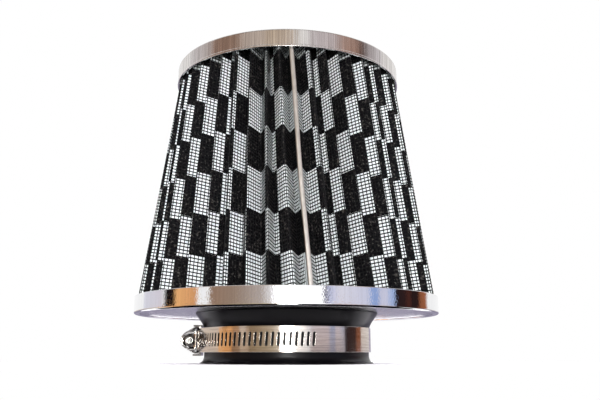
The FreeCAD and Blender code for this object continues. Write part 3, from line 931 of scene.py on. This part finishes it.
@dataclass
class FoldedElement:
    """The folded fabric with its net, the clip on its seam, and the screen and compound that hold it."""

    folds: Folds = field(default_factory=Folds)
    checks: CheckPrint = field(default_factory=CheckPrint)
    fabric: float = 1.0
    facet_width: float = 9.8
    row_splits: int = 3
    round_points: int = 5
    edge_room: float = 0.01
    net_pitch: float = 1.58
    net_rises: int = 10
    net_reach: float = 0.9
    net_room: float = 0.04
    upright_half: float = 0.22
    crosswise_half: float = 0.28
    thread_rise: float = 0.08
    lengthwise_lift: float = 0.08
    crosswise_lift: float = 0.14
    clip_half: float = 1.05
    clip_sheet: float = 0.4
    clip_depth: float = 1.9
    clip_ease: float = 0.5
    clip_foot_ease: float = 0.1
    clip_wander: float = 0.16
    wander_turn: float = 9.0
    wander_start: float = 0.6
    clip_sections: int = 60

    def columns(self) -> np.ndarray:
        """Places around the element where the mesh has a column of points.

        Returns:
            Places from the seam and round to it again.
        """
        folds = self.folds
        rounds = folds.rounds(np.arange(folds.facets + 1), 1.0, self.round_points)
        rounds = rounds[(rounds >= 0) & (rounds <= folds.facets)]
        edges = self.checks.edges(folds.facets)
        clear = np.abs(rounds[:, None] - edges).min(axis=1) > self.edge_room
        return np.unique(np.concatenate([rounds[clear], edges]))

    def flat_size(self) -> tuple[float, float]:
        """Width and length of the fabric before it was folded, in metres."""
        folds = self.folds
        slant = math.hypot(folds.high - folds.low, folds.ridge(folds.low) - folds.ridge(folds.high))
        return folds.facets * self.facet_width * MM, slant * MM

    def fabric_mesh(self) -> bpy.types.Mesh:
        """Closed sheet of fabric with one material for each colour of check and one for its back.

        Returns:
            The mesh.
        """
        folds = self.folds
        place, level = np.meshgrid(self.columns(), self.checks.levels(folds.low, folds.high, self.row_splits))
        height = folds.fall(place, level)
        height[0], height[-1] = folds.low, folds.high
        outer = folds.surface(place, height)
        inner = folds.surface(place, height, self.fabric)
        rows, count = place.shape
        number = np.arange(rows * count).reshape(rows, count)
        back = number + rows * count
        front_faces = quads(number[:-1, :-1], number[:-1, 1:], number[1:, 1:], number[1:, :-1])
        back_faces = quads(back[:-1, :-1], back[1:, :-1], back[1:, 1:], back[:-1, 1:])
        rims = [quads(one[:-1], two[:-1], two[1:], one[1:]) for one, two in (
            (number[0], back[0]), (back[-1], number[-1]),
            (back[:, 0], number[:, 0]), (number[:, -1], back[:, -1]))]
        faces = np.concatenate([front_faces, back_faces, *rims])
        points = np.concatenate([outer.reshape(-1, 3), inner.reshape(-1, 3)])
        mesh = new_mesh("checked_folds", points, faces.tolist(),
                        BLACK_PRINT.material(), WHITE_PRINT.material(), INNER_FELT.material())
        middle = (place[:-1, :-1] + place[:-1, 1:]) / 2
        row_middle = (level[:-1, :-1] + level[1:, :-1]) / 2
        white = self.checks.white(middle, row_middle).ravel()
        finish = np.full(len(faces), 2)
        finish[:len(white)] = white
        mesh.polygons.foreach_set("material_index", finish)
        flat = np.stack([place * self.facet_width, level], axis=-1).reshape(-1, 2)
        lay_flat(mesh, np.concatenate([flat, flat]))
        return mesh

    def thread_mesh(self, name: str, place: np.ndarray, level: np.ndarray, lift: float, half: float,
                    finish: bpy.types.Material) -> bpy.types.Mesh:
        """Flattened threads that lie on the fabric.

        Args:
            name: Name of the mesh.
            place: Place of each thread's points, one row to a thread.
            level: Their heights on the ridges.
            lift: Height of the threads' middle above the fabric.
            half: Half of the threads' width.
            finish: Material of the threads.

        Returns:
            The mesh of all the threads.
        """
        folds = self.folds
        height = folds.fall(place, level)
        normal = folds.outward(place, height)
        middle = folds.surface(place, height) + normal * lift
        along = np.gradient(middle, axis=1)
        along /= np.linalg.norm(along, axis=-1, keepdims=True)
        side = np.cross(along, normal)
        wide, high = side * half, normal * self.thread_rise
        points = np.stack([middle + wide, middle + high, middle - wide, middle - high], axis=2)
        threads, stations = place.shape
        number = np.arange(threads * stations * 4).reshape(threads, stations, 4)
        turned_on = np.roll(number, -1, axis=2)
        walls = quads(number[:, :-1], number[:, 1:], turned_on[:, 1:], turned_on[:, :-1])
        ends = np.concatenate([number[:, 0], number[:, -1, ::-1]])
        return new_mesh(name, points, np.concatenate([walls, ends]).tolist(), finish)

    def net(self) -> list[bpy.types.Mesh]:
        """Threads up the folds and threads across them.

        Returns:
            The meshes of the net: the upright threads, and the lower and upper half of the others.
        """
        folds = self.folds
        finish = NET_THREAD.material()
        count = round(folds.facets * self.facet_width / self.net_pitch)
        upright = (np.arange(count) + 0.5) * folds.facets / count
        rises = np.linspace(folds.low, folds.high, self.net_rises)
        place, level = np.meshgrid(upright, rises, indexing="ij")
        meshes = [self.thread_mesh("net_lengthwise", place, level,
                                   self.lengthwise_lift, self.upright_half, finish)]
        bends = folds.rounds(np.arange(1, folds.facets), self.net_reach, self.round_points)
        stations = np.sort(np.concatenate([[self.net_room, folds.facets - self.net_room], bends]))
        heights = np.arange(folds.low + self.net_pitch, folds.high - self.net_pitch, self.net_pitch)
        for name, part in zip(("net_crosswise_lower", "net_crosswise_upper"), np.array_split(heights, 2)):
            place, level = np.meshgrid(stations, part)
            meshes.append(self.thread_mesh(name, place, level,
                                           self.crosswise_lift, self.crosswise_half, finish))
        return meshes

    def clip_mesh(self) -> bpy.types.Mesh:
        """Folded strip that straddles the seam, a little wavy by hand.

        Returns:
            The mesh.
        """
        half, hollow = self.clip_half, self.clip_half - self.clip_sheet
        roof, foot = -self.clip_sheet, -self.clip_depth
        section = eased([
            (foot, -half, self.clip_foot_ease), (0, -half, self.clip_ease), (0, half, self.clip_ease),
            (foot, half, self.clip_foot_ease), (foot, hollow, 0), (roof, hollow, 0), (roof, -hollow, 0),
            (foot, -hollow, 0),
        ], FEW_STEPS)
        folds = self.folds
        height = np.linspace(folds.low, folds.high, self.clip_sections)[:, None]
        share = (height - folds.low) / (folds.high - folds.low)
        wander = self.clip_wander * np.sin(math.pi * share)
        wander = wander * np.sin(share * self.wander_turn + self.wander_start)
        turn = np.radians(folds.seam_angle(height))
        radius = folds.ridge(height) + section[:, 0]
        across = section[:, 1] + wander
        points = np.stack([radius * np.cos(turn) - across * np.sin(turn),
                           radius * np.sin(turn) + across * np.cos(turn), height + 0 * radius], axis=-1)
        return new_mesh("seam_strip", points, tube_faces(*radius.shape), CLIP_ALUMINIUM.material())

    def build(self) -> None:
        """Make the fabric, the net and the clip, and dress what holds them."""
        fabric = Piece("checked_folds", self.fabric_mesh(), Body.FILTER, Slot.FABRIC, ("pleated_media",)).show()
        net = [Piece(mesh.name, mesh, Body.FILTER, Slot.FABRIC).show() for mesh in self.net()]
        self.flat_size()
        Piece("seam_strip", self.clip_mesh(), Body.FILTER, Slot.CLIP, ("seam_clip",)).show()
        dress_node("inner_screen", SCREEN_ZINC.material())
        potting = POTTING.material()
        dress_node("top_sealant", potting)
        dress_node("base_sealant", potting)


@dataclass
class SlottedBand:
    """The clamp's band: it starts on the saddle, goes round the neck and laps over itself under the worm.

    The route is laid out with the housing on +X, and turned half round when the mesh is made.
    """

    neck: float = 42.3
    start: float = 5.5
    width: float = 12.0
    sheet: float = 0.7
    lap_in: float = 44.25
    lap_out: float = 45.0
    corner: float = 6.16
    bend: float = 5.0
    tail: float = 24.0
    pitch: float = 2.7
    slot_end: float = 108.0
    slot_length: float = 6.4
    slot_width: float = 1.1
    slot_lean: float = 4.0
    slot_turns: tuple[float, ...] = (30.0, 60.0)
    arc_step: float = 2.5
    station_room: float = 0.3
    levels: tuple[float, ...] = (0.0, 2.5, 4.4, 6.0, 7.6, 9.5, 12.0)
    line: np.ndarray = field(init=False)
    passed: np.ndarray = field(init=False)
    slotted_from: float = field(init=False)

    def __post_init__(self) -> None:
        """Lay out the route of the band's inner face and find where its slots start."""
        leave_in, leave_out = self.leave(self.lap_in), self.leave(self.lap_out)
        step = self.lap_out - self.lap_in
        split = math.radians(self.slot_end) + self.pitch / self.neck
        bend_in, bend_out = (self.bend * math.tan(leave / 2) for leave in (leave_in, leave_out))
        corners = [(self.lap_in, 0, 0), (self.lap_in, -self.corner, bend_in)]
        corners += self.arc(self.neck, -leave_in, split - 2 * math.pi)
        corners += self.arc(self.neck, split - 2 * math.pi, leave_out - 2 * math.pi)[1:]
        corners += [(self.lap_out, self.corner, bend_out),
                    (self.lap_out, -self.corner - step * math.tan(leave_in / 2), bend_in)]
        corners += self.arc(self.neck + step, -leave_in, -leave_in - math.radians(self.tail))
        self.line = eased(corners, FEW_STEPS)
        self.passed = np.insert(np.cumsum(np.linalg.norm(np.diff(self.line, axis=0), axis=1)), 0, 0)
        first = np.array([math.cos(split), math.sin(split)]) * self.neck
        self.slotted_from = self.passed[np.linalg.norm(self.line - first, axis=1).argmin()]

    def leave(self, out: float) -> float:
        """Turn at which a straight run from beside the housing meets the neck."""
        return math.atan2(self.corner, out) + math.acos(self.neck / math.hypot(out, self.corner))

    def arc(self, radius: float, start: float, end: float) -> list[Corner]:
        """Corners with no easing along an arc about the neck's axis, from one turn to another."""
        count = max(2, round(abs(end - start) / math.radians(self.arc_step)))
        return [(radius * math.cos(turn), radius * math.sin(turn), 0)
                for turn in np.linspace(start, end, count)]

    def cells(self) -> np.ndarray:
        """Places along the route of the slots' middles."""
        return np.arange(self.slotted_from + self.pitch, self.passed[-1] - self.pitch, self.pitch)

    def slot_edge(self) -> np.ndarray:
        """Outline of a slot with round ends, from its lower right round to its lower end.

        Returns:
            Distances along and across the band from the slot's middle.
        """
        radius = self.slot_width / 2
        run = self.slot_length / 2 - radius
        turns = np.radians(self.slot_turns)
        upper = [(radius * math.cos(turn), run + radius * math.sin(turn)) for turn in turns]
        right = [(along, -across) for along, across in upper[::-1]]
        right += [(radius, -run), (radius, 0), (radius, run), *upper]
        left = [(-along, across) for along, across in right[::-1]]
        edge = np.array([*right, (0, run + radius), *left, (0, -run - radius)])
        lean = math.radians(self.slot_lean)
        turn = np.array([[math.cos(lean), math.sin(lean)], [-math.sin(lean), math.cos(lean)]])
        return edge @ turn

    def cell_edge(self) -> np.ndarray:
        """Outline of the stretch of band around a slot, with its points in the order of the slot's.

        Returns:
            Distances along and across the band from the slot's middle.
        """
        half, across = self.pitch / 2, np.array(self.levels) - self.width / 2
        right = [(half, level) for level in across]
        left = [(-half, level) for level in across[::-1]]
        return np.array([*right, (0, across[-1]), *left, (0, across[0])])

    def patches(self) -> np.ndarray:
        """Four-sided patches of the whole band.

        Returns:
            Place along the route, height across the band and depth into the sheet of each patch's corners.
        """
        middles = self.cells()
        centre = np.array([0, self.width / 2])
        slot, cell = self.slot_edge() + centre, self.cell_edge() + centre
        flat, walls, rims = [], [], []
        for middle in middles:
            shift = np.array([middle, 0])
            for here, there in zip(range(len(slot)), np.roll(range(len(slot)), -1)):
                flat.append([cell[here] + shift, cell[there] + shift, slot[there] + shift, slot[here] + shift])
                walls.append([slot[here] + shift, slot[there] + shift])
            rims += [(middle - self.pitch / 2, middle), (middle, middle + self.pitch / 2)]
        ends = (middles[0] - self.pitch / 2, middles[-1] + self.pitch / 2)
        for low, high in ((0.0, ends[0]), (ends[1], self.passed[-1])):
            inside = (self.passed > low + self.station_room) & (self.passed < high - self.station_room)
            stations = np.unique([low, high, *self.passed[inside]])
            for start, end in zip(stations, stations[1:]):
                rims.append((start, end))
                flat += [[(start, under), (end, under), (end, over), (start, over)]
                         for under, over in zip(self.levels, self.levels[1:])]
        walls += [[(start, level), (end, level)] for start, end in rims for level in (0.0, self.width)]
        walls += [[(place, under), (place, over)] for place in (0.0, self.passed[-1])
                  for under, over in zip(self.levels, self.levels[1:])]
        flat, walls = np.array(flat), np.array(walls)
        faces = [np.insert(flat, 2, depth, axis=2) for depth in (0.0, self.sheet)]
        upright = np.concatenate([walls, walls[:, ::-1]], axis=1)
        depths = np.broadcast_to([[0.0], [0.0], [self.sheet], [self.sheet]], (len(walls), 4, 1))
        return np.concatenate([*faces, np.concatenate([upright, depths], axis=2)])

    def mesh(self) -> bpy.types.Mesh:
        """Bend the patches along the route.

        Returns:
            The closed mesh.
        """
        place, height, depth = self.patches().reshape(-1, 3).T
        run = np.gradient(self.line, self.passed, axis=0)
        side = np.stack([-run[:, 1], run[:, 0]], axis=-1) / np.linalg.norm(run, axis=1, keepdims=True)
        plan = [np.interp(place, self.passed, self.line[:, axis])
                + depth * np.interp(place, self.passed, side[:, axis]) for axis in (0, 1)]
        points = np.stack([-plan[0], -plan[1], self.start + height], axis=-1)
        faces = np.arange(len(points)).reshape(-1, 4).tolist()
        mesh = new_mesh("slotted_band", points, faces, BAND_STEEL.material())
        make_sound(mesh)
        return mesh


@dataclass
class HoseClamp:
    """The worm-drive clamp on the neck, its housing on the left, with sizes counted from the worm's axis."""

    leg: float = 6.85
    foot: float = 4.75
    nose: float = 4.6
    side_lean: float = 30.0
    sheet: float = 0.8
    wall_foot: float = 3.3
    wall_half: float = 5.0
    dark_rings: int = 5
    tip_hole: float = 1.65
    front: float = -7.5
    back: float = 7.5
    end_round: float = 0.3
    arch_back: float = 0.2
    arch_points: int = 15
    end_points: int = 5
    shoulder_ease: float = 0.9
    wall_points: int = 96
    least_cosine: float = 0.001
    wall_proud: float = 0.03
    end_wall: tuple[tuple[float, float], ...] = (
        (0.0, 0.75), (0.0, 0.36), (0.05, 0.30), (0.24, 0.30), (0.32, 0.50), (0.48, 0.62), (0.60, 0.42),
        (0.70, 0.10), (0.80, 0.0), (0.90, 0.06), (0.97, 0.25), (1.0, 0.55), (1.0, 0.95))
    thread_root: float = 3.05
    thread_crest: float = 3.55
    thread_pitch: float = 2.7
    thread_turns: float = 4.9
    root_half: float = 0.85
    crest_half: float = 0.3
    thread_shift: float = 0.7
    turn_steps: int = 40
    edge: float = 0.12
    edge_segments: int = 2
    edge_angle: float = 40.0

    def worm_centre(self) -> np.ndarray:
        """Middle of the worm, on its axis."""
        joint = next(joint for joint in frame["joints"] if joint["name"] == "clamp_screw_turn")
        return np.array(joint["pos_m"]) / MM

    def arch_middle(self) -> np.ndarray:
        """Middle line of the housing's sheet, from one foot over the worm to the other.

        Returns:
            Distances out from the worm's axis and above it.
        """
        lean = math.radians(self.side_lean)
        reach, leg = self.nose - self.sheet / 2, self.leg - self.sheet / 2
        shoulder = (reach - leg * math.cos(lean)) / math.sin(lean)
        turns = np.linspace(lean - math.pi / 2, math.pi / 2 - lean, self.arch_points)
        over = np.stack([reach * np.cos(turns), reach * np.sin(turns)], axis=-1)
        bent = eased([(-self.foot, leg, 0), (shoulder, leg, self.shoulder_ease), (*over[-1], 0)], FEW_STEPS)
        leg_top = bent[:-1][::-1]
        leg_low = leg_top[::-1] * (1, -1)
        return np.concatenate([leg_low, over, leg_top])

    def arch(self) -> np.ndarray:
        """Rings of the housing's sheet, pressed into an arch, with rounded ends.

        Returns:
            Points in space, one row to a ring.
        """
        line = self.arch_middle()
        run = np.gradient(line, axis=0)
        side = np.stack([run[:, 1], -run[:, 0]], axis=-1) / np.linalg.norm(run, axis=1, keepdims=True)
        rises = np.linspace(0, math.pi / 2, self.end_points)
        start = self.end_round * (1 - np.cos(rises))
        inset = self.end_round * (1 - np.sin(rises))
        along = np.concatenate([self.front + self.arch_back + start, self.back - start[::-1]])
        half = self.sheet / 2 - np.concatenate([inset, inset[::-1]])
        rings = np.stack([np.concatenate([line + side * thick, (line - side * thick)[::-1]]) for thick in half])
        return self.in_housing(rings, along[:, None])

    def wall(self) -> np.ndarray:
        """Rings of the housing's end wall: a rim, a groove, and a boss around the hole for the worm's tip.

        Returns:
            Points in space, one row to a ring, from the hole over the front to the back of the rim.
        """
        turns = np.linspace(-math.pi, math.pi, self.wall_points, endpoint=False)
        bearing = 90 - self.side_lean
        reach = np.full(len(turns), np.inf)
        for facing, distance in ((bearing, self.nose), (-bearing, self.nose), (180, self.wall_foot),
                                 (90, self.wall_half), (-90, self.wall_half)):
            cosine = np.maximum(np.cos(turns - math.radians(facing)), self.least_cosine)
            reach = np.minimum(reach, distance / cosine)
        reach[np.abs(turns) < math.radians(bearing)] = self.nose
        reach += self.wall_proud
        share, back = np.array(self.end_wall).T[:, :, None]
        radius = self.tip_hole + (reach - self.tip_hole) * share
        rings = np.stack([radius * np.cos(turns), radius * np.sin(turns)], axis=-1)
        return self.in_housing(rings, self.front + back)

    def housing_mesh(self) -> bpy.types.Mesh:
        """Arch and end wall of the housing.

        Returns:
            The mesh.
        """
        arch, wall = self.arch(), self.wall()
        number = np.arange(wall[..., 0].size).reshape(wall.shape[:2])
        ahead = np.roll(number, -1, axis=1)
        faces = quads(number, ahead, np.roll(ahead, -1, axis=0), np.roll(number, -1, axis=0)).tolist()
        faces += tube_faces(*arch.shape[:2], number.size)
        points = np.concatenate([wall.reshape(-1, 3), arch.reshape(-1, 3)])
        mesh = new_mesh("pressed_housing", points, faces, HOUSING_STEEL.material(), HOLLOW_SHADE_STEEL.material())
        # The rings round the worm's hole and the inner side of the arch take the dark steel as painted shade.
        dark = np.zeros(len(faces), dtype=int)
        dark[:number.shape[1] * self.dark_rings] = 1
        side = np.arange(arch.shape[1]) >= arch.shape[1] // 2
        dark[number.size:-2] = np.tile(side, len(arch) - 1)
        mesh.polygons.foreach_set("material_index", dark)
        make_sound(mesh)
        return mesh

    def in_housing(self, section: np.ndarray, along: np.ndarray) -> np.ndarray:
        """Points in space from distances out from the worm's axis and above it, and places along it."""
        out, rise = section[..., 0], section[..., 1]
        return np.stack([-out, along + 0 * out, rise], axis=-1) + self.worm_centre()

    def soften(self, solid: bpy.types.Object) -> None:
        """Round the sharp edges of a pressed or turned solid.

        Args:
            solid: Object of the node.
        """
        weld = solid.modifiers.new("weld", "WELD")
        weld.merge_threshold = WELD_REACH
        bevel = solid.modifiers.new("edges", "BEVEL")
        bevel.width = self.edge * MM
        bevel.segments = self.edge_segments
        bevel.limit_method = "ANGLE"
        bevel.angle_limit = math.radians(self.edge_angle)
        bevel.harden_normals = True

    def thread_mesh(self) -> bpy.types.Mesh:
        """Right-hand thread around the screw's root.

        Returns:
            The mesh.
        """
        steps = round(self.thread_turns * self.turn_steps) + 1
        turn = np.linspace(0, 2 * math.pi * self.thread_turns, steps)
        along = self.thread_pitch * (turn / (2 * math.pi) - self.thread_turns / 2) + self.thread_shift
        section = ((self.thread_root, -self.root_half), (self.thread_crest, -self.crest_half),
                   (self.thread_crest, self.crest_half), (self.thread_root, self.root_half))
        points = np.stack([np.stack([radius * np.cos(turn), along + half, radius * np.sin(-turn)], axis=-1)
                           for radius, half in section], axis=1) + self.worm_centre()
        return new_mesh("worm_thread", points, tube_faces(*points.shape[:2]), SCREW_ZINC.material())

    def build(self) -> None:
        """Make the housing, the band and the worm's thread, and dress the saddle and the screw."""
        Piece("pressed_housing", self.housing_mesh(), Body.FILTER, Slot.CLAMP, ("clamp_housing",)).show()
        self.soften(dress_node("clamp_saddle", SHADED_SADDLE_STEEL.material()))
        band = Piece("slotted_band", SlottedBand().mesh(), Body.FILTER, Slot.CLAMP, ("clamp_band",)).show()
        self.soften(band)
        self.soften(dress_node("clamp_screw", SCREW_ZINC.material()))
        Piece("worm_thread", self.thread_mesh(), Body.WORM, Slot.SCREW).show()


class Tier(Enum):
    """Heights between which a card stands, named for what mirrors it from the front."""

    BAND = (-100.0, 70.0)
    RING = (70.0, 330.0)
    CAP = (330.0, 1400.0)
    CAP_EDGE = (1400.0, 2300.0)


@dataclass(frozen=True)
class Card:
    """A standing card that shows only in reflections, between two angles from the front, + to the right."""

    tier: Tier
    start: float
    end: float
    first: Colour
    last: Colour
    glow: float = 1.0


@dataclass(frozen=True)
class Mat:
    """A mat on the table that shows only in reflections, about a middle angle from the front."""

    name: str
    middle: float
    half_turn: float
    radii: tuple[float, float]
    colour: Colour


@dataclass(frozen=True)
class Lamp:
    """A soft square lamp that points at the filter, and shows in shiny surfaces only if it is mirrored."""

    name: str
    place: tuple[float, float, float]
    size: float
    power: float
    mirrored: bool = False


@dataclass
class Studio:
    """White table, soft lamps, cards for the metal to mirror, and the camera."""

    eye: tuple[float, float, float] = (6.84, -363.8, 4.94)
    eye_rise: float = 12.51
    lens: float = 41.51
    sensor: float = 36.0
    clip_start: float = 0.01
    clip_end: float = 50.0
    ambient: float = 0.36
    lamps: tuple[Lamp, ...] = (
        Lamp("key", (60, -760, 420), 260, 6.4),
        Lamp("flash", (30, -960, 60), 200, 3.6, mirrored=True),
        Lamp("fill_left", (-760, -60, 360), 450, 6.4),
        Lamp("fill_right", (760, -40, 360), 450, 6.2),
        Lamp("back", (60, 760, 520), 400, 13.0),
    )
    lamp_aim: tuple[float, float, float] = (0, 0, 85)
    floor_radius: float = 900.0
    floor_clear: tuple[float, float] = (70.0, 190.0)
    floor_tones: tuple[Colour, Colour] = (srgb(243, 240, 246), srgb(248, 246, 250))
    floor_scale: float = 30.0
    mat_height: float = 0.6
    mats: tuple[Mat, ...] = (
        Mat("front", 0.0, 75.0, (60.0, 420.0), srgb(13, 13, 22)),
        # The grey of the back mat is painted shade of the table, mirrored in the base ring's underside.
        Mat("back", 180.0, 75.0, (95.0, 900.0), srgb(150, 145, 164)),
    )
    card_radius: float = 1200.0
    card_points: int = 8
    cards: tuple[Card, ...] = (
        Card(Tier.BAND, -150, -100, srgb(222, 208, 194), srgb(214, 198, 180)),
        Card(Tier.BAND, -100, -75, srgb(244, 184, 120), srgb(236, 172, 112)),
        Card(Tier.BAND, -75, -61, srgb(150, 118, 92), srgb(176, 146, 118)),
        Card(Tier.BAND, -61, -49, srgb(206, 182, 158), srgb(196, 172, 148)),
        Card(Tier.BAND, -49, -10, srgb(150, 128, 100), srgb(206, 190, 162)),
        Card(Tier.BAND, -10, -2, srgb(206, 190, 162), srgb(250, 246, 238)),
        Card(Tier.BAND, -2, 31, srgb(250, 248, 244), srgb(250, 250, 252), 1.5),
        Card(Tier.BAND, 32, 58, srgb(216, 200, 198), srgb(206, 192, 194)),
        Card(Tier.BAND, 58, 67, srgb(176, 176, 196), srgb(170, 170, 192)),
        Card(Tier.BAND, 67, 83, srgb(214, 200, 200), srgb(186, 182, 194)),
        Card(Tier.BAND, 83, 106, srgb(48, 34, 34), srgb(60, 42, 38)),
        Card(Tier.BAND, 106, 118, srgb(138, 86, 62), srgb(146, 92, 66)),
        Card(Tier.BAND, 118, 150, srgb(222, 212, 206), srgb(226, 220, 218)),
        # This lavender card is painted shade of the backdrop, mirrored in the base ring's underside.
        Card(Tier.BAND, 150, 210, srgb(178, 173, 192), srgb(178, 173, 192)),
        Card(Tier.RING, -124, -96, srgb(226, 226, 236), srgb(222, 216, 226)),
        Card(Tier.RING, -94, -83, srgb(14, 12, 16), srgb(18, 14, 18)),
        Card(Tier.RING, -83, -63, srgb(244, 184, 122), srgb(220, 158, 108)),
        Card(Tier.RING, -53, -34, srgb(154, 124, 104), srgb(156, 134, 118)),
        Card(Tier.RING, -34, -16, srgb(156, 134, 118), srgb(186, 174, 168)),
        Card(Tier.RING, -16, -8, srgb(186, 174, 168), srgb(244, 242, 244)),
        Card(Tier.RING, -8, 26, srgb(250, 248, 250), srgb(250, 250, 252), 1.5),
        Card(Tier.RING, 26, 29, srgb(120, 116, 126), srgb(150, 148, 164)),
        Card(Tier.RING, 29, 36, srgb(190, 196, 228), srgb(224, 222, 238)),
        Card(Tier.RING, 36, 60, srgb(230, 228, 240), srgb(210, 212, 234)),
        Card(Tier.RING, 60, 67, srgb(156, 178, 224), srgb(146, 170, 220)),
        Card(Tier.RING, 67, 75, srgb(204, 206, 228), srgb(214, 214, 234)),
        Card(Tier.RING, 75, 82, srgb(190, 200, 232), srgb(160, 184, 230)),
        Card(Tier.RING, 82, 94, srgb(40, 30, 32), srgb(48, 32, 32)),
        Card(Tier.RING, 94, 99, srgb(76, 42, 36), srgb(72, 40, 34)),
        Card(Tier.RING, 99, 110, srgb(40, 28, 28), srgb(46, 30, 28)),
        Card(Tier.RING, 110, 122, srgb(140, 84, 58), srgb(168, 104, 72)),
        Card(Tier.CAP, -112, -80, srgb(236, 234, 238), srgb(200, 190, 186)),
        Card(Tier.CAP, -80, -46, srgb(158, 128, 112), srgb(166, 138, 122)),
        Card(Tier.CAP, -46, -20, srgb(210, 196, 186), srgb(218, 204, 192)),
        Card(Tier.CAP, -20, 8, srgb(212, 192, 168), srgb(220, 204, 188)),
        Card(Tier.CAP, 22, 53, srgb(228, 222, 226), srgb(214, 204, 206)),
        Card(Tier.CAP, 53, 76, srgb(196, 164, 150), srgb(180, 146, 132)),
        Card(Tier.CAP, 76, 85, srgb(90, 70, 64), srgb(104, 86, 80)),
        Card(Tier.CAP, 85, 112, srgb(180, 172, 174), srgb(236, 234, 238)),
        Card(Tier.CAP_EDGE, -70, 70, srgb(60, 52, 50), srgb(56, 50, 52)),
    )

    def camera(self) -> None:
        """Set up the camera at the photograph's viewpoint."""
        data = bpy.data.cameras.new("view")
        data.lens, data.sensor_width = self.lens, self.sensor
        data.clip_start, data.clip_end = self.clip_start, self.clip_end
        camera = put_up("view", data)
        camera.location = Vector(self.eye) * MM
        camera.rotation_euler = Euler((math.radians(90 + self.eye_rise), 0, 0))
        bpy.context.scene.camera = camera

    def world(self) -> None:
        """White surroundings for the eye and for mirrors, softer ones for the light on the filter."""
        world = bpy.data.worlds.new("white_room")
        world.use_nodes = True
        sky = Nodes(world.node_tree)
        soft = sky.tree.nodes["Background"]
        sky.fill(soft, {"Color": WHITE, "Strength": self.ambient})
        white = sky.node("ShaderNodeBackground", {"Color": WHITE})
        path = sky.node("ShaderNodeLightPath")
        seen = path.outputs["Is Camera Ray"]
        for ray in ("Is Glossy Ray", "Is Transmission Ray"):
            total = sky.node("ShaderNodeMath", {0: seen, 1: path.outputs[ray]}, operation="MAXIMUM")
            seen = total.outputs["Value"]
        mix = sky.node("ShaderNodeMixShader", {"Fac": seen, 1: soft.outputs["Background"],
                                               2: white.outputs["Background"]})
        sky.fill(sky.tree.nodes["World Output"], {"Surface": mix.outputs["Shader"]})
        bpy.context.scene.world = world

    def floor(self) -> None:
        """Pale table that fades into the white surroundings."""
        shader = Shader("white_table")
        distance = shader.node("ShaderNodeVectorMath", {0: shader.place.outputs["Object"]}, operation="LENGTH")
        fade = shader.node("ShaderNodeMapRange", {
            "Value": distance.outputs["Value"], "From Min": self.floor_clear[0] * MM,
            "From Max": self.floor_clear[1] * MM}, interpolation_type="SMOOTHSTEP")
        clear = shader.node("ShaderNodeBsdfTransparent")
        tones = zip((NOISE_LOW, NOISE_HIGH), self.floor_tones)
        shader.fill(shader.surface, {"Base Color": shader.ramp(shader.noise(self.floor_scale), *tones),
                                     "Roughness": 0.9, "Specular IOR Level": 0.1})
        mix = shader.node("ShaderNodeMixShader", {
            "Fac": fade.outputs["Result"], 1: shader.surface.outputs["BSDF"], 2: clear.outputs["BSDF"]})
        shader.fill(shader.tree.nodes["Material Output"], {"Surface": mix.outputs["Shader"]})
        corners = np.array([(-1, -1, 0), (1, -1, 0), (1, 1, 0), (-1, 1, 0)]) * self.floor_radius
        table = put_up("table", new_mesh("table", corners, [(0, 1, 2, 3)], shader.material))

    def stand_cards(self) -> None:
        """Stand the cards around the table, and lay a dark mat before the filter and a grey one behind it."""
        share = np.linspace(0, 1, self.card_points)
        for number, card in enumerate(self.cards):
            turns = np.radians(card.start + (card.end - card.start) * share)
            edge = np.stack([np.sin(turns), -np.cos(turns)], axis=-1) * self.card_radius
            rows = [np.insert(edge, 2, height, axis=1) for height in card.tier.value]
            self.card(f"card_{number}", rows, share, card.first, card.last, card.glow)
        for mat in self.mats:
            turns = np.radians(mat.middle + mat.half_turn * (2 * share - 1))
            edge = np.stack([np.sin(turns), -np.cos(turns)], axis=-1)
            rows = [np.insert(edge * radius, 2, self.mat_height, axis=1) for radius in mat.radii]
            self.card(f"mat_{mat.name}", rows, share, mat.colour, mat.colour)

    def card(self, name: str, rows: list[np.ndarray], share: np.ndarray, first: Colour, last: Colour,
             glow: float = 1.0) -> None:
        """Put up a card that only mirrors see.

        Args:
            name: Name of the card.
            rows: Points along its two long edges.
            share: Share of the way along the card at each of those points.
            first: Colour where it starts.
            last: Colour where it ends.
            glow: Brightness of the colours.
        """
        shader = Shader(name)
        across = shader.node("ShaderNodeSeparateXYZ", {"Vector": shader.place.outputs["UV"]}).outputs["X"]
        shader.fill(shader.surface, {
            "Base Color": BLACK, "Specular IOR Level": 0.0, "Emission Strength": glow,
            "Emission Color": shader.ramp(across, (0.0, first), (1.0, last))})
        count = len(share)
        steps = np.arange(count - 1)
        faces = quads(steps, steps + 1, steps + 1 + count, steps + count).tolist()
        mesh = new_mesh(name, np.concatenate(rows), faces, shader.material)
        lay_flat(mesh, np.tile(np.stack([share, 0 * share], axis=-1), (2, 1)))
        card = put_up(name, mesh)
        card.visible_camera = card.visible_diffuse = card.visible_shadow = False

    def hang_lamps(self) -> None:
        """Hang the lamps and point them at the filter."""
        for lamp in self.lamps:
            data = bpy.data.lights.new(lamp.name, "AREA")
            data.size, data.energy = lamp.size * MM, lamp.power
            light = put_up(lamp.name, data)
            light.location = Vector(lamp.place) * MM
            aim = Vector(self.lamp_aim) - Vector(lamp.place)
            light.rotation_euler = aim.to_track_quat("-Z", "Y").to_euler()
            light.visible_glossy = lamp.mirrored

    def build(self) -> None:
        """Set up the whole studio."""
        self.camera()
        self.world()
        self.floor()
        self.stand_cards()
        self.hang_lamps()
        bpy.context.scene.view_settings.view_transform = "Standard"


def main() -> None:
    """Build the filter and its studio."""
    logging.basicConfig(level=logging.INFO, format="%(name)s: %(message)s")
    ChromeShells().build()
    RubberNeck().build()
    FoldedElement().build()
    HoseClamp().build()
    Studio().build()


if __name__ == "__main__":
    main()
